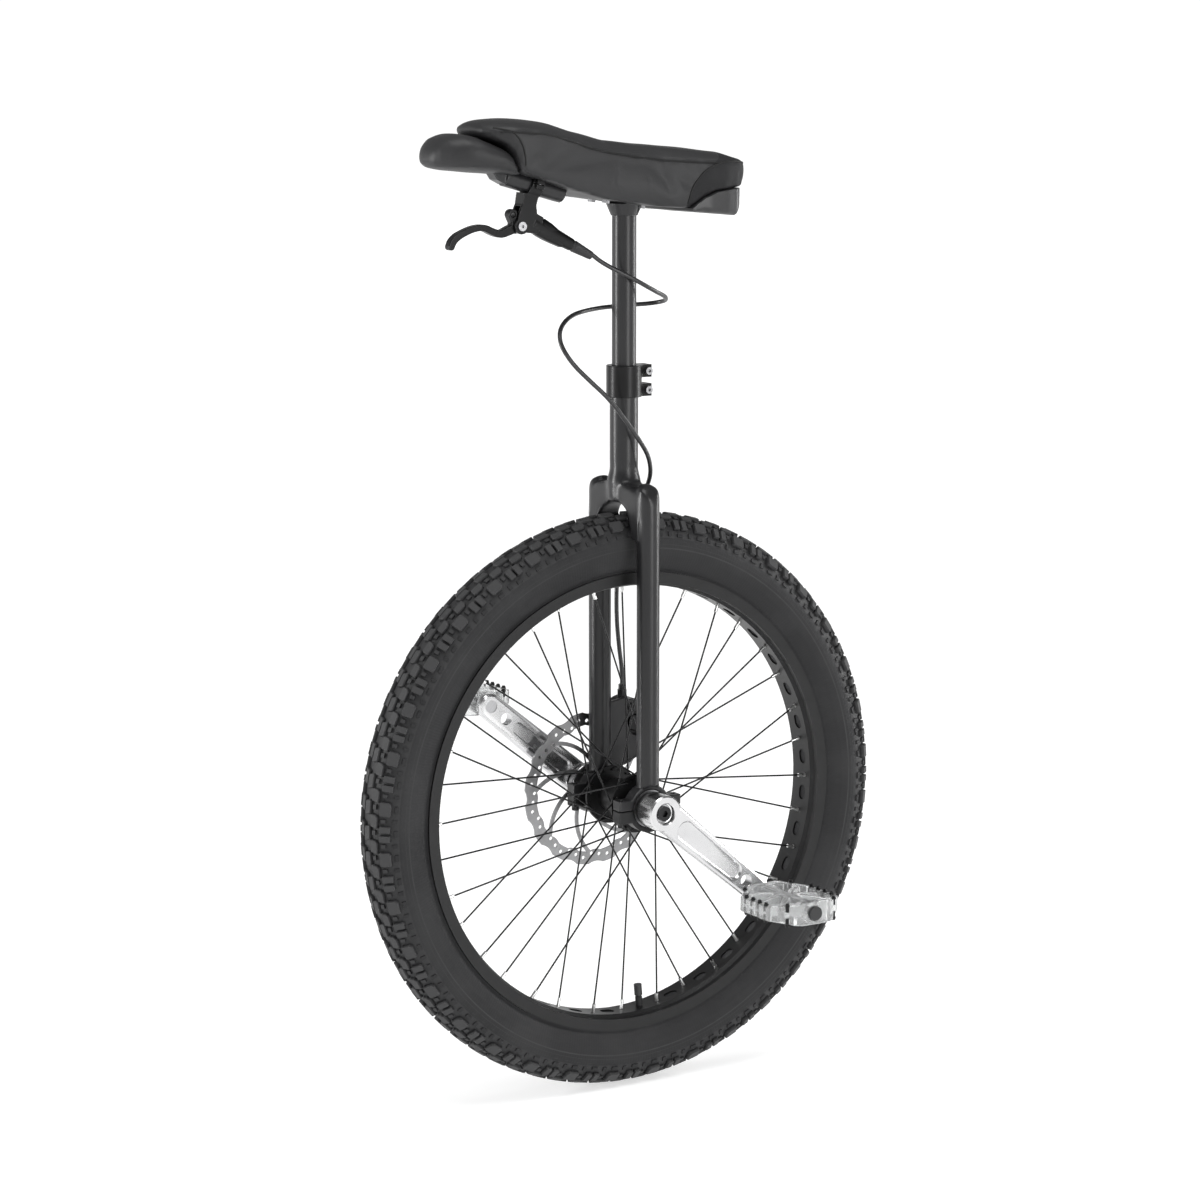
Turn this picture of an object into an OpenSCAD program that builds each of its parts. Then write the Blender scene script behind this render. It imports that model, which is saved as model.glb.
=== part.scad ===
// Mountain unicycle: fat-tyred wheel on a fixed axle, straight-legged frame, long saddle, hydraulic disc brake.
// X points forward, Y to the rider's left, Z up; the ground is z = 0 and the axle runs along Y.

/* [Wheel] */
// Height of the axle above the ground, which is the tyre's outer radius
axle_h = 328; // [300:0.5:370]
// Width of the tyre
tyre_w = 70; // [56:0.5:73]
// Thickness of the tyre's sidewall
tyre_wall = 3.5; // [2:0.5:5]
// Bead seat radius, where the tyre grips the rim
bead_r = 252; // [248:0.5:256]
// Outer width of the rim
rim_w = 50; // [44:0.5:54]
// Height of the rim's side walls above the bead seat
rim_flange = 10; // [8:0.5:12]
// Thickness of the rim's metal
rim_wall = 2.4; // [2:0.1:3]
// Number of spokes
spoke_count = 36; // [28:4:40]
// Diameter of a spoke
spoke_d = 2; // [1.6:0.1:2.3]
// Length of a lightening hole in the rim
rim_hole_l = 17; // [10:0.5:22]
// Width of a lightening hole in the rim
rim_hole_w = 12; // [8:0.5:14]

/* [Hub and bearings] */
// Distance from the centre plane to a hub flange
flange_y = 27; // [24:0.5:30]
// Radius of a hub flange
flange_r = 33; // [32:0.5:35]
// Radius of the circle of spoke holes
spoke_pcr = 29; // [28:0.5:29.5]
// Radius of the axle
axle_r = 11; // [10:0.25:12]
// How far the middle of a bearing lies inside the middle of its leg
bearing_inset = 1.5; // [1:0.25:2.5]
// Outer radius of a bearing
bearing_r = 21; // [20:0.5:22]
// Width of a bearing
bearing_w = 12; // [10:0.5:13]

/* [Cranks and pedals] */
// Distance from the axle to the outer pedal hole
crank_l = 165; // [150:1:175]
// Distance between the two pedal holes
pedal_step = 25; // [22:1:30]
// Angle of the left crank, measured downwards from straight back
crank_angle = 39.8; // [0:0.1:60]
// Distance from the disc to the outer face of a crank
crank_out = 22.5; // [22:0.5:28]
// Thickness of a crank arm
crank_t = 12.5; // [11:0.5:13]
// Radius of the crank's round end on the axle
boss_r = 20.5; // [19:0.5:24]
// Radius of the crank's end at the pedal
crank_tip_r = 14.5; // [12:0.5:16]
// Radius of the pedal thread
pedal_thread_r = 7.15; // [7:0.05:7.3]
// Length of a pedal, front to back
pedal_l = 96; // [85:1:105]
// Width of a pedal, from the crank side to the end
pedal_w = 100; // [90:1:110]
// Height of a pedal body
pedal_h = 26; // [22:1:30]
// Thickness of the pedal at its front and back edges
pedal_edge = 16; // [12:1:20]

/* [Frame] */
// Diameter of a leg tube
leg_d = 25.4; // [22.2:0.1:27]
// Clearance between the tyre and a leg
tyre_gap = 3.8; // [3:0.1:6]
// Clearance between the crown's arch and the top of the tyre
crown_gap = 12; // [10:1:20]
// Front to back thickness of the crown
crown_t = 28; // [26:0.5:32]
// Height of the crown above its arch
crown_h = 25; // [23:1:34]
// Wall of the neck tube
neck_wall = 2.3; // [1.8:0.1:3.2]
// Length of the neck tube above the crown
neck_l = 122; // [100:1:150]
// Height of the seat clamp
clamp_h = 35; // [30:1:40]
// Outer diameter of the seat clamp
clamp_d = 39.6; // [38:0.2:44]

/* [Brake] */
// Radius of the disc
rotor_r = 90; // [80:1:92]
// Thickness of the disc
rotor_t = 1.8; // [1.6:0.1:2.2]
// Clearance between a leg and the middle of the disc
rotor_gap = 3.3; // [3.1:0.1:4]
// Diameter of the brake hose
hose_d = 5; // [4:0.5:6]
// Diameter of the bar that carries the brake lever
bar_d = 22.2; // [22:0.1:22.4]

/* [Seat] */
// Diameter of the seatpost
post_d = 27.2; // [25.4:0.1:27.4]
// Wall of the seatpost
post_wall = 2.4; // [1.5:0.1:3]
// Length of seatpost inside the frame
post_insert = 94; // [70:1:110]
// Length of seatpost that shows between the frame and the saddle's base
post_show = 187; // [170:1:230]
// Half width of the saddle at the back
saddle_rear = 74; // [68:1:82]
// Half width of the saddle at its waist
saddle_waist = 52; // [46:1:58]
// Half width of the saddle at the raised front
saddle_front = 57; // [50:1:64]
// Half width of the front handle
handle_half = 46; // [40:1:52]
// Slope of the saddle's base under the post
saddle_tilt = 8.5; // [5:0.5:12]

/* [Hidden] */
$fn = 64;

eps = 0.5;
run = 0.05;
gap = 0.3;
leg_r = leg_d / 2;
post_r = post_d / 2;
neck_r = post_r + neck_wall;
leg_y = tyre_w / 2 + tyre_gap + leg_r;
bearing_y = leg_y - bearing_inset;
rotor_y = leg_y + leg_r + rotor_gap;
crank_y = rotor_y + crank_out;
leg_top = axle_h + crown_gap + crown_h;
neck_top = leg_top + neck_l;
seat_h = neck_top + post_show;
far = 200;

// A frame whose Z axis is the axle: local x is forward and local y is down
module on_axle(y = 0) {
    translate([0, y, axle_h]) rotate([-90, 0, 0]) children();
}

// A disc or ring about the axle, between two distances from the centre plane
module axle_ring(y0, y1, r, hole = 0) {
    on_axle(y0) difference() {
        cylinder(r = r, h = y1 - y0);
        if (hole > 0) translate([0, 0, -eps]) cylinder(r = hole, h = y1 - y0 + 2 * eps);
    }
}

// Both sides of the wheel
module both_sides() {
    children();
    mirror([0, 1, 0]) children();
}

// A flat shape drawn in X and Z, given a width along Y from y0 to y1
module side_plate(y0, y1) {
    translate([0, y1, 0]) rotate([90, 0, 0]) linear_extrude(y1 - y0) children();
}

// The outline of two circles and the straight edges that touch both
module link2d(r1, r2, length) {
    lean = asin((r1 - r2) / length);
    circle(r = r1);
    translate([length, 0]) circle(r = r2);
    polygon([[r1 * sin(lean), r1 * cos(lean)], [length + r2 * sin(lean), r2 * cos(lean)],
        [length + r2 * sin(lean), -r2 * cos(lean)], [r1 * sin(lean), -r1 * cos(lean)]]);
}

// A cylinder along Y through a point in X and Z
module pin_y(p, y0, y1, r) {
    translate([p[0], y1, p[1]]) rotate([90, 0, 0]) cylinder(r = r, h = y1 - y0);
}

// A screw along Y with a socket head; its head ends at y0 and its tip at y1
module screw_y(p, y0, y1, r, head_r, head_h) {
    s = sign(y1 - y0);
    difference() {
        union() {
            pin_y(p, min(y0, y0 + s * head_h), max(y0, y0 + s * head_h), head_r);
            pin_y(p, min(y0, y1), max(y0, y1), r);
        }
        translate([p[0], y0 - s * eps, p[1]]) rotate([-90 * s, 0, 0])
            cylinder(r = r * 0.8, h = head_h * 0.6 + eps, $fn = 6);
    }
}

function unit(v) = v / norm(v);

// A point on the smooth curve through a route, t counted in route points
function curve_at(route, t) = let (n = len(route) - 1, i = min(floor(t), n - 1), f = t - i,
    p0 = route[max(i - 1, 0)], p1 = route[i], p2 = route[i + 1], p3 = route[min(i + 2, n)])
    0.5 * (2 * p1 + (p2 - p0) * f + (2 * p0 - 5 * p1 + 4 * p2 - p3) * f * f
        + (3 * p1 - p0 - 3 * p2 + p3) * f * f * f);

// ---------- Wheel ----------
crown_c = axle_h - tyre_w / 2;
rim_bottom = bead_r - 6;
tube_gap = 0.4;
spoke_step = 360 / spoke_count;
valve_angle = spoke_step * (floor(spoke_count / 4) + 0.5);

module tyre_outline(shrink, bead_half) {
    translate([crown_c, 0]) circle(r = tyre_w / 2 - shrink, $fn = 128);
    polygon([[bead_r + gap, -bead_half], [bead_r + rim_flange + 2, -bead_half],
        [bead_r + 24, -tyre_w * 0.44 + shrink], [crown_c, -tyre_w / 4], [crown_c, tyre_w / 4],
        [bead_r + 24, tyre_w * 0.44 - shrink], [bead_r + rim_flange + 2, bead_half],
        [bead_r + gap, bead_half]]);
}

bead_outer = rim_w / 2 - rim_wall - gap;
bead_inner = bead_outer - 5;

module tyre() {
    color("dimgray") on_axle() rotate_extrude($fn = 180) difference() {
        tyre_outline(0, bead_outer);
        tyre_outline(tyre_wall, bead_inner);
        translate([bead_r, -bead_inner]) square([10, 2 * bead_inner]);
    }
}

module tube_outline(inset) {
    translate([crown_c, 0]) circle(r = tyre_w / 2 - tyre_wall - tube_gap - inset);
    translate([bead_r + gap + inset, -bead_inner + tube_gap + inset])
        square([crown_c - bead_r, 2 * (bead_inner - tube_gap - inset)]);
}

module inner_tube() {
    color("black") on_axle() difference() {
        rotate_extrude($fn = 180) difference() {
            tube_outline(0);
            tube_outline(1.2);
        }
        valve_hole(stem_r);
    }
}

module rim_outline() {
    half = rim_w / 2;
    well = bead_inner - 2;
    upper = [[rim_bottom, well - 1], [rim_bottom + 3.6, well + 3], [rim_bottom + 3.6, half],
        [bead_r + rim_flange, half], [bead_r + rim_flange, half - rim_wall],
        [bead_r, half - rim_wall], [bead_r, well + 2], [rim_bottom + 2, well - 2]];
    polygon(concat(upper, [for (i = [len(upper) - 1 : -1 : 0]) [upper[i][0], -upper[i][1]]]));
}

stem_r = 4;
module valve_hole(r) {
    rotate([0, 0, valve_angle]) translate([rim_bottom - 6, 0, 0]) rotate([0, 90, 0])
        cylinder(r = r, h = 14);
}

// Slot through the bed of the rim, midway between two nipples
module rim_slot() {
    travel = rim_hole_l - rim_hole_w;
    translate([rim_bottom - 5, 0, 0]) rotate([0, 90, 0]) linear_extrude(8.4) {
        for (s = [-1, 1]) translate([0, s * travel / 2]) circle(r = rim_hole_w / 2);
        square([rim_hole_w, travel], center = true);
    }
}

module rim() {
    color("#1c1c1e") difference() {
        on_axle() difference() {
            rotate_extrude($fn = 180) rim_outline();
            for (i = [0 : spoke_count - 1])
                if (abs(spoke_step * (i + 0.5) - valve_angle) > 1)
                    rotate([0, 0, spoke_step * (i + 0.5)]) rim_slot();
            valve_hole(stem_r + 0.2);
        }
        for (i = [0 : spoke_count - 1]) on_spoke(i) translate([0, 0, -6]) cylinder(r = 2.3, h = 12);
    }
}

module rim_strip() {
    strip = bead_inner - 4.6;
    color("#2a2a2a") on_axle() difference() {
        rotate_extrude($fn = 180) translate([rim_bottom + 2.1, -strip]) square([0.8, 2 * strip]);
        valve_hole(stem_r + 0.2);
        rotate([0, 0, valve_angle]) translate([rim_bottom + 2.4, 0, 0]) rotate([0, 90, 0])
            cylinder(r = stem_r + 0.2, h = 3);
    }
}

module valve_stem() {
    color("#242424") on_axle() rotate([0, 0, valve_angle]) translate([rim_bottom - 18, 0, 0])
        rotate([0, 90, 0]) difference() {
            union() {
                cylinder(r = stem_r - 1.2, h = 8);
                translate([0, 0, 7]) cylinder(r = stem_r, h = 12 + bead_r - rim_bottom);
            }
            translate([0, 0, -eps]) cylinder(r = 1, h = 40);
        }
}

module valve_cap() {
    color("black") on_axle() rotate([0, 0, valve_angle]) translate([rim_bottom - 25.6, 0, 0])
        rotate([0, 90, 0]) difference() {
            cylinder(r = stem_r + 0.6, h = 12.6);
            translate([0, 0, 5]) cylinder(r = stem_r - 1.15, h = 9);
        }
}

// Spoke i runs from its hub hole to the rim; even spokes leave the left flange.
cross_angle = 6 * spoke_step;
elbow = 3.6;
function spoke_side(i) = i % 2 == 0 ? 1 : -1;
function spoke_lead(i) = floor(i / 2) % 2 == 0 ? 1 : -1;
function rim_end(i) = let (a = spoke_step * i)
    [rim_bottom * cos(a), spoke_side(i) * 4, axle_h + rim_bottom * sin(a)];
function hub_end(i) = let (a = spoke_step * i + spoke_lead(i) * cross_angle)
    [spoke_pcr * cos(a), spoke_side(i) * (flange_y + spoke_lead(i) * elbow), axle_h + spoke_pcr * sin(a)];

// Places children at the rim end of spoke i with Z pointing away from the hub
module on_spoke(i) {
    v = rim_end(i) - hub_end(i);
    translate(rim_end(i)) rotate([0, acos(v[2] / norm(v)), atan2(v[1], v[0])]) children();
}

module spokes() {
    through = elbow + flange_t / 2;
    color("#202022") for (i = [0 : spoke_count - 1]) {
        reach = norm(rim_end(i) - hub_end(i));
        out = spoke_side(i) * spoke_lead(i);
        p = hub_end(i);
        on_spoke(i) translate([0, 0, -reach]) cylinder(r = spoke_d / 2, h = reach - 2);
        translate(p) sphere(r = spoke_d * 0.6, $fn = 24);
        translate(p) rotate([90 * out, 0, 0]) cylinder(r = spoke_d / 2, h = through + 0.9);
        translate(p) rotate([90 * out, 0, 0]) translate([0, 0, through + 0.1])
            cylinder(r = spoke_d * 0.9, h = 0.8);
    }
}

module spoke_nipples() {
    color("silver") for (i = [0 : spoke_count - 1]) on_spoke(i) difference() {
        union() {
            translate([0, 0, -10]) cylinder(r = 2, h = 11);
            translate([0, 0, -1.4]) cylinder(r = 2.2, h = 3);
        }
        translate([0, 0, -11]) cylinder(r = spoke_d / 2 + run, h = 10);
    }
}

// ---------- Hub, axle and bearings ----------
hub_end_y = flange_y + 9;
flange_t = 3.2;
bearing_in = bearing_y - bearing_w / 2;
bearing_out = bearing_y + bearing_w / 2;
ball_pcr = (axle_r + bearing_r) / 2;
ball_r = 2.4;
race_gap = 2.6;
crank_in = 62;

module hub_shell() {
    color("#19191b") difference() {
        on_axle(-hub_end_y) rotate_extrude($fn = 96) union() {
            translate([axle_r, 0]) square([7, 2 * hub_end_y]);
            translate([axle_r, hub_end_y - 14]) square([10, 28]);
            for (s = [-1, 1]) translate([axle_r, hub_end_y + s * flange_y - flange_t / 2])
                square([flange_r - axle_r, flange_t]);
        }
        for (i = [0 : spoke_count - 1])
            pin_y([hub_end(i)[0], hub_end(i)[2]], min(0, spoke_side(i) * far), max(0, spoke_side(i) * far),
                spoke_d / 2 + 0.2);
    }
}

module axle_spindle() {
    color("gray") difference() {
        union() {
            axle_ring(-crank_in, crank_in, axle_r);
            axle_ring(-crank_y + 7, crank_y - 7, axle_r - 1);
        }
        both_sides() axle_ring(crank_y - 32, crank_y, 6);
    }
}

module axle_spacers() {
    color("#303034") both_sides() {
        axle_ring(hub_end_y, bearing_in, axle_r + 2.6, axle_r);
        axle_ring(bearing_out, crank_in, axle_r + 2.6, axle_r);
    }
}

module race(r_in, r_out) {
    on_axle(bearing_in) rotate_extrude($fn = 96) difference() {
        translate([r_in, 0]) square([r_out - r_in, bearing_w]);
        translate([ball_pcr, bearing_w / 2]) circle(r = ball_r + 0.1);
    }
}

module outer_races() {
    color("silver") both_sides() race(bearing_r - race_gap, bearing_r);
}

module inner_races() {
    color("silver") both_sides() race(axle_r, axle_r + race_gap);
}

module bearing_balls() {
    color("white") both_sides() for (i = [0 : 9]) on_axle(bearing_y) rotate([0, 0, 36 * i])
        translate([ball_pcr, 0, 0]) sphere(r = ball_r, $fn = 32);
}

module bearing_seals() {
    inner = axle_r + race_gap + 0.4;
    outer = bearing_r - race_gap;
    color("black") both_sides() for (y = [bearing_in, bearing_out - 1]) axle_ring(y, y + 1, outer, inner);
}

// ---------- Bearing housings ----------
housing_w = 15;
housing_r = bearing_r + 6;
lug_reach = housing_r + 13;
lug_bolt = housing_r + 6.5;
lug_up = 12;
lug_down = 14;
split = 0.3;

module housing_blank(y) {
    axle_ring(y - housing_w / 2, y + housing_w / 2, housing_r);
    translate([-lug_reach, y - housing_w / 2, axle_h - lug_down])
        cube([2 * lug_reach, housing_w, lug_down + lug_up]);
}

module half_housing(y, upper) {
    difference() {
        housing_blank(y);
        axle_ring(y - housing_w, y + housing_w, bearing_r);
        translate([-far, y - far, upper ? axle_h - far + split : axle_h - split])
            cube([2 * far, 2 * far, far]);
        for (s = [-1, 1]) translate([s * lug_bolt, y, axle_h - 30]) cylinder(r = 2.6, h = 60);
    }
}

module bearing_housings() {
    color("#232325") both_sides() half_housing(bearing_y, true);
}

module bearing_caps() {
    color("#19191b") both_sides() half_housing(bearing_y, false);
}

module bearing_cap_bolts() {
    color("#3a3a3d") both_sides() for (s = [-1, 1]) translate([s * lug_bolt, bearing_y, axle_h]) difference() {
        union() {
            translate([0, 0, -lug_down - 5]) cylinder(r = 4.2, h = 5);
            translate([0, 0, -lug_down - 1]) cylinder(r = 2.5, h = lug_down + lug_up - 1);
        }
        translate([0, 0, -lug_down - 6]) cylinder(r = 2, h = 4, $fn = 6);
    }
}

// ---------- Frame ----------
leg_top_z = axle_h + leg_top;
arch_r = leg_y - leg_r;
arch_c = axle_h + axle_h + crown_gap - arch_r;
neck_base = leg_top_z - 9;
neck_top_z = axle_h + neck_top;
shoulder = 26;

module leg() {
    color("#232325") difference() {
        intersection() {
            translate([0, leg_y, axle_h]) cylinder(r = leg_r, h = leg_top);
            rotate([90, 0, 90]) translate([0, 0, -far]) linear_extrude(2 * far) union() {
                translate([leg_y + leg_r - shoulder, leg_top_z - shoulder]) circle(r = shoulder, $fn = 96);
                translate([0, axle_h]) square([leg_y + leg_r - shoulder, leg_top]);
                translate([0, axle_h]) square([far, leg_top - shoulder]);
            }
            side_plate(0, far) union() {
                translate([0, leg_top_z - leg_r - 2]) circle(r = leg_r + 2);
                translate([-far, 0]) square([2 * far, leg_top_z - leg_r - 3]);
            }
        }
        axle_ring(0, far, housing_r);
        translate([-lug_reach - eps, 0, axle_h - eps]) cube([2 * lug_reach + 2 * eps, far, lug_up + eps]);
    }
}

module left_leg() { leg(); }
module right_leg() { mirror([0, 1, 0]) leg(); }

module crown() {
    top = leg_top_z - 4;
    color("#232325") difference() {
        union() {
            translate([-crown_t / 2, 0, 0]) rotate([90, 0, 90]) linear_extrude(crown_t) polygon([
                [-leg_y, arch_c], [leg_y, arch_c], [leg_y, top - 12], [leg_y - 14, top - 3],
                [neck_r + 6, top], [-neck_r - 6, top], [-leg_y + 14, top - 3], [-leg_y, top - 12]]);
            translate([0, 0, arch_c]) cylinder(r = neck_r + 2.5, h = top - arch_c);
        }
        translate([-far, 0, arch_c]) rotate([0, 90, 0]) cylinder(r = arch_r, h = 2 * far, $fn = 96);
        for (s = [-1, 1]) translate([0, s * leg_y, 0]) cylinder(r = leg_r, h = 2 * axle_h + leg_top);
        cylinder(r = post_r + run, h = 2 * axle_h + leg_top);
        translate([0, 0, neck_base]) cylinder(r = neck_r, h = far);
    }
}

module seat_tube() {
    slit = 2.4;
    color("#232325") difference() {
        union() {
            translate([0, 0, neck_base]) cylinder(r = neck_r, h = neck_top_z - neck_base);
            translate([0, 0, leg_top_z - 4]) cylinder(r1 = neck_r + 4, r2 = neck_r, h = 14);
        }
        translate([0, 0, neck_base - eps]) cylinder(r = post_r + run, h = neck_top_z - neck_base + 2 * eps);
        translate([-far, -slit / 2, neck_top_z - clamp_h - 8]) cube([far, slit, far]);
    }
}

clamp_top = neck_top_z + 4;
clamp_base = clamp_top - clamp_h;
ear_x = clamp_d / 2 + 11;
ear_half = 9;
ear_h = (clamp_h - 7) / 2;

module seat_clamp() {
    color("#1b1b1d") difference() {
        union() {
            translate([0, 0, clamp_base]) cylinder(r = clamp_d / 2, h = clamp_h);
            for (z = [clamp_base, clamp_top - ear_h]) translate([-ear_x, -ear_half, z])
                cube([ear_x - neck_r + 4, 2 * ear_half, ear_h]);
        }
        translate([0, 0, clamp_base - eps]) cylinder(r = neck_r + run, h = neck_top_z - clamp_base + eps);
        translate([0, 0, clamp_base - eps]) cylinder(r = post_r + 0.1, h = far);
        translate([-far, -1, clamp_base - eps]) cube([far, 2, clamp_h + 2 * eps]);
        for (z = [clamp_base, clamp_top - ear_h])
            pin_y([-ear_x + 5.5, z + ear_h / 2], -far, far, 2.6);
    }
}

module seat_clamp_bolts() {
    color("#55555a") for (z = [clamp_base, clamp_top - ear_h])
        screw_y([-ear_x + 5.5, z + ear_h / 2], ear_half + 4, -ear_half, 2.5, 4.2, 4);
}

// ---------- Cranks ----------
left_dir = 180 - crank_angle;
disc_face = rotor_y + rotor_t / 2;
bolt_pcr = 22;

// A frame at the axle whose X runs along the left crank and whose Z is outwards along Y
module on_left_crank() {
    on_axle() rotate([0, 0, left_dir]) children();
}

// A crank with its holes; profile is the outline of its round end, as radius and distance from the wheel
module crank_blank(profile) {
    difference() {
        union() {
            rotate_extrude($fn = 96) polygon(concat(profile,
                [[boss_r, crank_y], [axle_r + 0.5, crank_y], [axle_r + 0.5, crank_y - 7],
                [axle_r - 1, crank_y - 7]]));
            translate([0, 0, crank_y - crank_t]) linear_extrude(crank_t) difference() {
                link2d(boss_r - 2.5, crank_tip_r, crank_l);
                circle(r = axle_r + 3);
            }
        }
        for (d = [crank_l, crank_l - pedal_step]) translate([d, 0, 0]) cylinder(r = pedal_thread_r, h = far);
    }
}

module left_crank() {
    color("gainsboro") on_left_crank() crank_blank([[axle_r - 1, crank_in], [boss_r, crank_in]]);
}

module right_crank() {
    back = crank_y - crank_t + 1;
    color("gainsboro") turn_right() on_left_crank() difference() {
        crank_blank([[axle_r - 1, crank_in], [disc_hole - 0.1, crank_in], [disc_hole - 0.1, disc_face],
            [bolt_pcr + 7, disc_face], [bolt_pcr + 7, back], [boss_r, back]]);
        for (i = [0 : 5]) rotate([0, 0, 60 * i + 30]) translate([bolt_pcr, 0, disc_face - 1])
            cylinder(r = 2.5, h = 5.6);
    }
}

// Mirrors a left-hand piece and turns it half a turn about the axle
module turn_right() {
    translate([0, 0, axle_h]) rotate([0, 180, 0]) mirror([0, 1, 0]) translate([0, 0, -axle_h]) children();
}

module crank_bolt() {
    axle_ring(crank_y - 7, crank_y - 2.4, axle_r - 2.6);
    axle_ring(crank_y - 30, crank_y - 6, 5.95);
}

module crank_bolts() {
    color("#1e1e20") both_sides() difference() {
        crank_bolt();
        on_axle(crank_y - 6) cylinder(r = 4, h = 6, $fn = 6);
    }
}

// ---------- Disc brake ----------
disc_hole = 17;
ring_w = 15;
waves = 16;
wave = 360 / waves;
wave_depth = 3;
crest_angle = -9;
arm_count = 8;
arm_half = 2.3;
arm_lean = 43;
arm_in = (bolt_pcr + 5) * [cos(arm_lean), -sin(arm_lean)];
arm_out = [rotor_r - ring_w, 0];
arm_chord = norm(arm_out - arm_in);
arm_bend = arm_chord * 1.03;
arm_side = [arm_in[1] - arm_out[1], arm_out[0] - arm_in[0]] / arm_chord;
arm_centre = (arm_in + arm_out) / 2 + arm_side * sqrt(arm_bend * arm_bend - arm_chord * arm_chord / 4);

// One curved arm of the disc, from its bolt ring to its braking ring
module disc_arm() {
    difference() {
        translate(arm_centre) circle(r = arm_bend + arm_half, $fn = 128);
        translate(arm_centre) circle(r = arm_bend - arm_half, $fn = 128);
        rotate(atan2(arm_centre[1], arm_centre[0])) translate([-far, 0]) square(2 * far);
        difference() {
            circle(r = far);
            circle(r = rotor_r - ring_w + 1);
        }
    }
}

// Braking ring with a wavy edge inside and outside
module disc_ring() {
    outer_r = 20;
    inner_r = 16;
    difference() {
        circle(r = rotor_r, $fn = 180);
        difference() {
            circle(r = rotor_r - ring_w, $fn = 180);
            for (i = [0 : waves - 1]) rotate(wave * (i + 0.5))
                translate([rotor_r - ring_w + inner_r - wave_depth * 0.7, 0]) circle(r = inner_r);
        }
        for (i = [0 : waves - 1]) rotate(wave * (i + 0.5))
            translate([rotor_r + outer_r - wave_depth, 0]) circle(r = outer_r);
    }
}

module brake_rotor() {
    hole_r = 2.2;
    color("silver") on_axle(-rotor_y - rotor_t / 2) linear_extrude(rotor_t) difference() {
        union() {
            rotate(crest_angle) disc_ring();
            circle(r = bolt_pcr + 6);
            for (i = [0 : arm_count - 1]) rotate(crest_angle + 5 + 360 / arm_count * i) disc_arm();
        }
        circle(r = disc_hole);
        for (i = [0 : 5]) rotate(60 * i + 30 + left_dir) translate([bolt_pcr, 0]) circle(r = 2.7);
        for (i = [0 : waves - 1], k = [0 : 2]) rotate(crest_angle + wave * (i + k / 3))
            translate([rotor_r - ring_w / 2 - [0.3, 5.3, 2.9][k], 0]) circle(r = hole_r);
    }
}

module rotor_bolts() {
    color("#2c2c2e") on_axle() for (i = [0 : 5]) rotate([0, 0, 60 * i + 30 + left_dir])
        translate([bolt_pcr, 0, -disc_face - 4]) difference() {
            union() {
                cylinder(r = 2.45, h = 7);
                translate([0, 0, 4 + rotor_t]) cylinder(r = 4, h = 1.4);
            }
            translate([0, 0, 5]) cylinder(r = 1.6, h = 4, $fn = 6);
        }
}

cal = [-44, 75];
cal_piston = [3.9, -3.2];
cal_tilt = 20;
cal_long = 58;
cal_wide = 32;
cal_in = 49;
cal_out = crank_y - crank_t - 0.5;
pad_t = 3.2;
pad_rest = 0.4;
pad_half = 13;
cal_piston_r = 10;
cal_bolt = 21;
cal_window = 11;

// A frame in the caliper's middle: X across it, Z along it, Y the wheel's axis
module at_caliper() {
    translate([cal[0], 0, axle_h + cal[1]]) rotate([0, cal_tilt, 0]) children();
}

module caliper_block() {
    round_r = cal_wide / 2 + 2;
    at_caliper() pin_y([0, 0], -cal_in - 2, -cal_in + 4, cal_window - 2);
    at_caliper() intersection() {
        translate([-cal_wide / 2, -cal_out, -cal_long / 2]) cube([cal_wide, cal_out - cal_in, cal_long]);
        side_plate(-cal_out, -cal_in) polygon([for (s = [0, 1], a = [180 * s : 10 : 180 * s + 180])
            [round_r * cos(a), round_r * sin(a) + (1 - 2 * s) * (cal_long / 2 - round_r)]]);
    }
}

module caliper_body() {
    slot_half = rotor_t / 2 + pad_rest + pad_t + 0.3;
    color("#151516") difference() {
        caliper_block();
        at_caliper() {
            for (s = [-1, 1]) pin_y([0, s * cal_bolt], -cal_in - 8, 0, 2.95);
            pin_y(cal_piston, -cal_out + 0.8, -rotor_y + slot_half + 8, cal_piston_r + run);
        }
        axle_ring(-rotor_y - slot_half, -rotor_y + slot_half, rotor_r + 4);
    }
}

module brake_pad(side) {
    face = rotor_t / 2 + pad_rest;
    y0 = side > 0 ? -rotor_y + face : -rotor_y - face - pad_t;
    color("#6a6258") intersection() {
        at_caliper() translate([cal_piston[0] - 12, y0, cal_piston[1] - pad_half])
            cube([24, pad_t, 2 * pad_half]);
        axle_ring(-rotor_y - 20, -rotor_y + 20, rotor_r + 3, rotor_r - 20);
    }
}

module inner_brake_pad() { brake_pad(1); }
module outer_brake_pad() { brake_pad(-1); }

module caliper_piston(side) {
    back = rotor_t / 2 + pad_rest + pad_t;
    length = side > 0 ? 7 : cal_out - 1.5 - rotor_y - back;
    y0 = side > 0 ? -rotor_y + back : -rotor_y - back - length;
    color("ivory") at_caliper() pin_y(cal_piston, y0, y0 + length, cal_piston_r);
}

module inner_piston() { caliper_piston(1); }
module outer_piston() { caliper_piston(-1); }

bracket_in = cal_in - 6;
module caliper_bracket() {
    base = [[-4, 26], [-4, 102], [-26, 106], [-45, 102], [-63, 58], [-60, 46], [-36, 30], [-22, 26]];
    color("#232325") difference() {
        side_plate(-cal_in, -bracket_in) polygon([for (p = base) [p[0], axle_h + p[1]]]);
        translate([0, -leg_y, 0]) cylinder(r = leg_r, h = 2 * axle_h);
        axle_ring(-far, 0, housing_r);
        translate([-lug_reach - eps, -far, 0]) cube([2 * lug_reach, far, axle_h + lug_up + eps]);
        at_caliper() for (s = [-1, 1]) pin_y([0, s * cal_bolt], -far, far, 3.2);
        at_caliper() for (s = [-1, 1]) pin_y([0, 3 * s], -far, 0, cal_window);
    }
}

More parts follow.
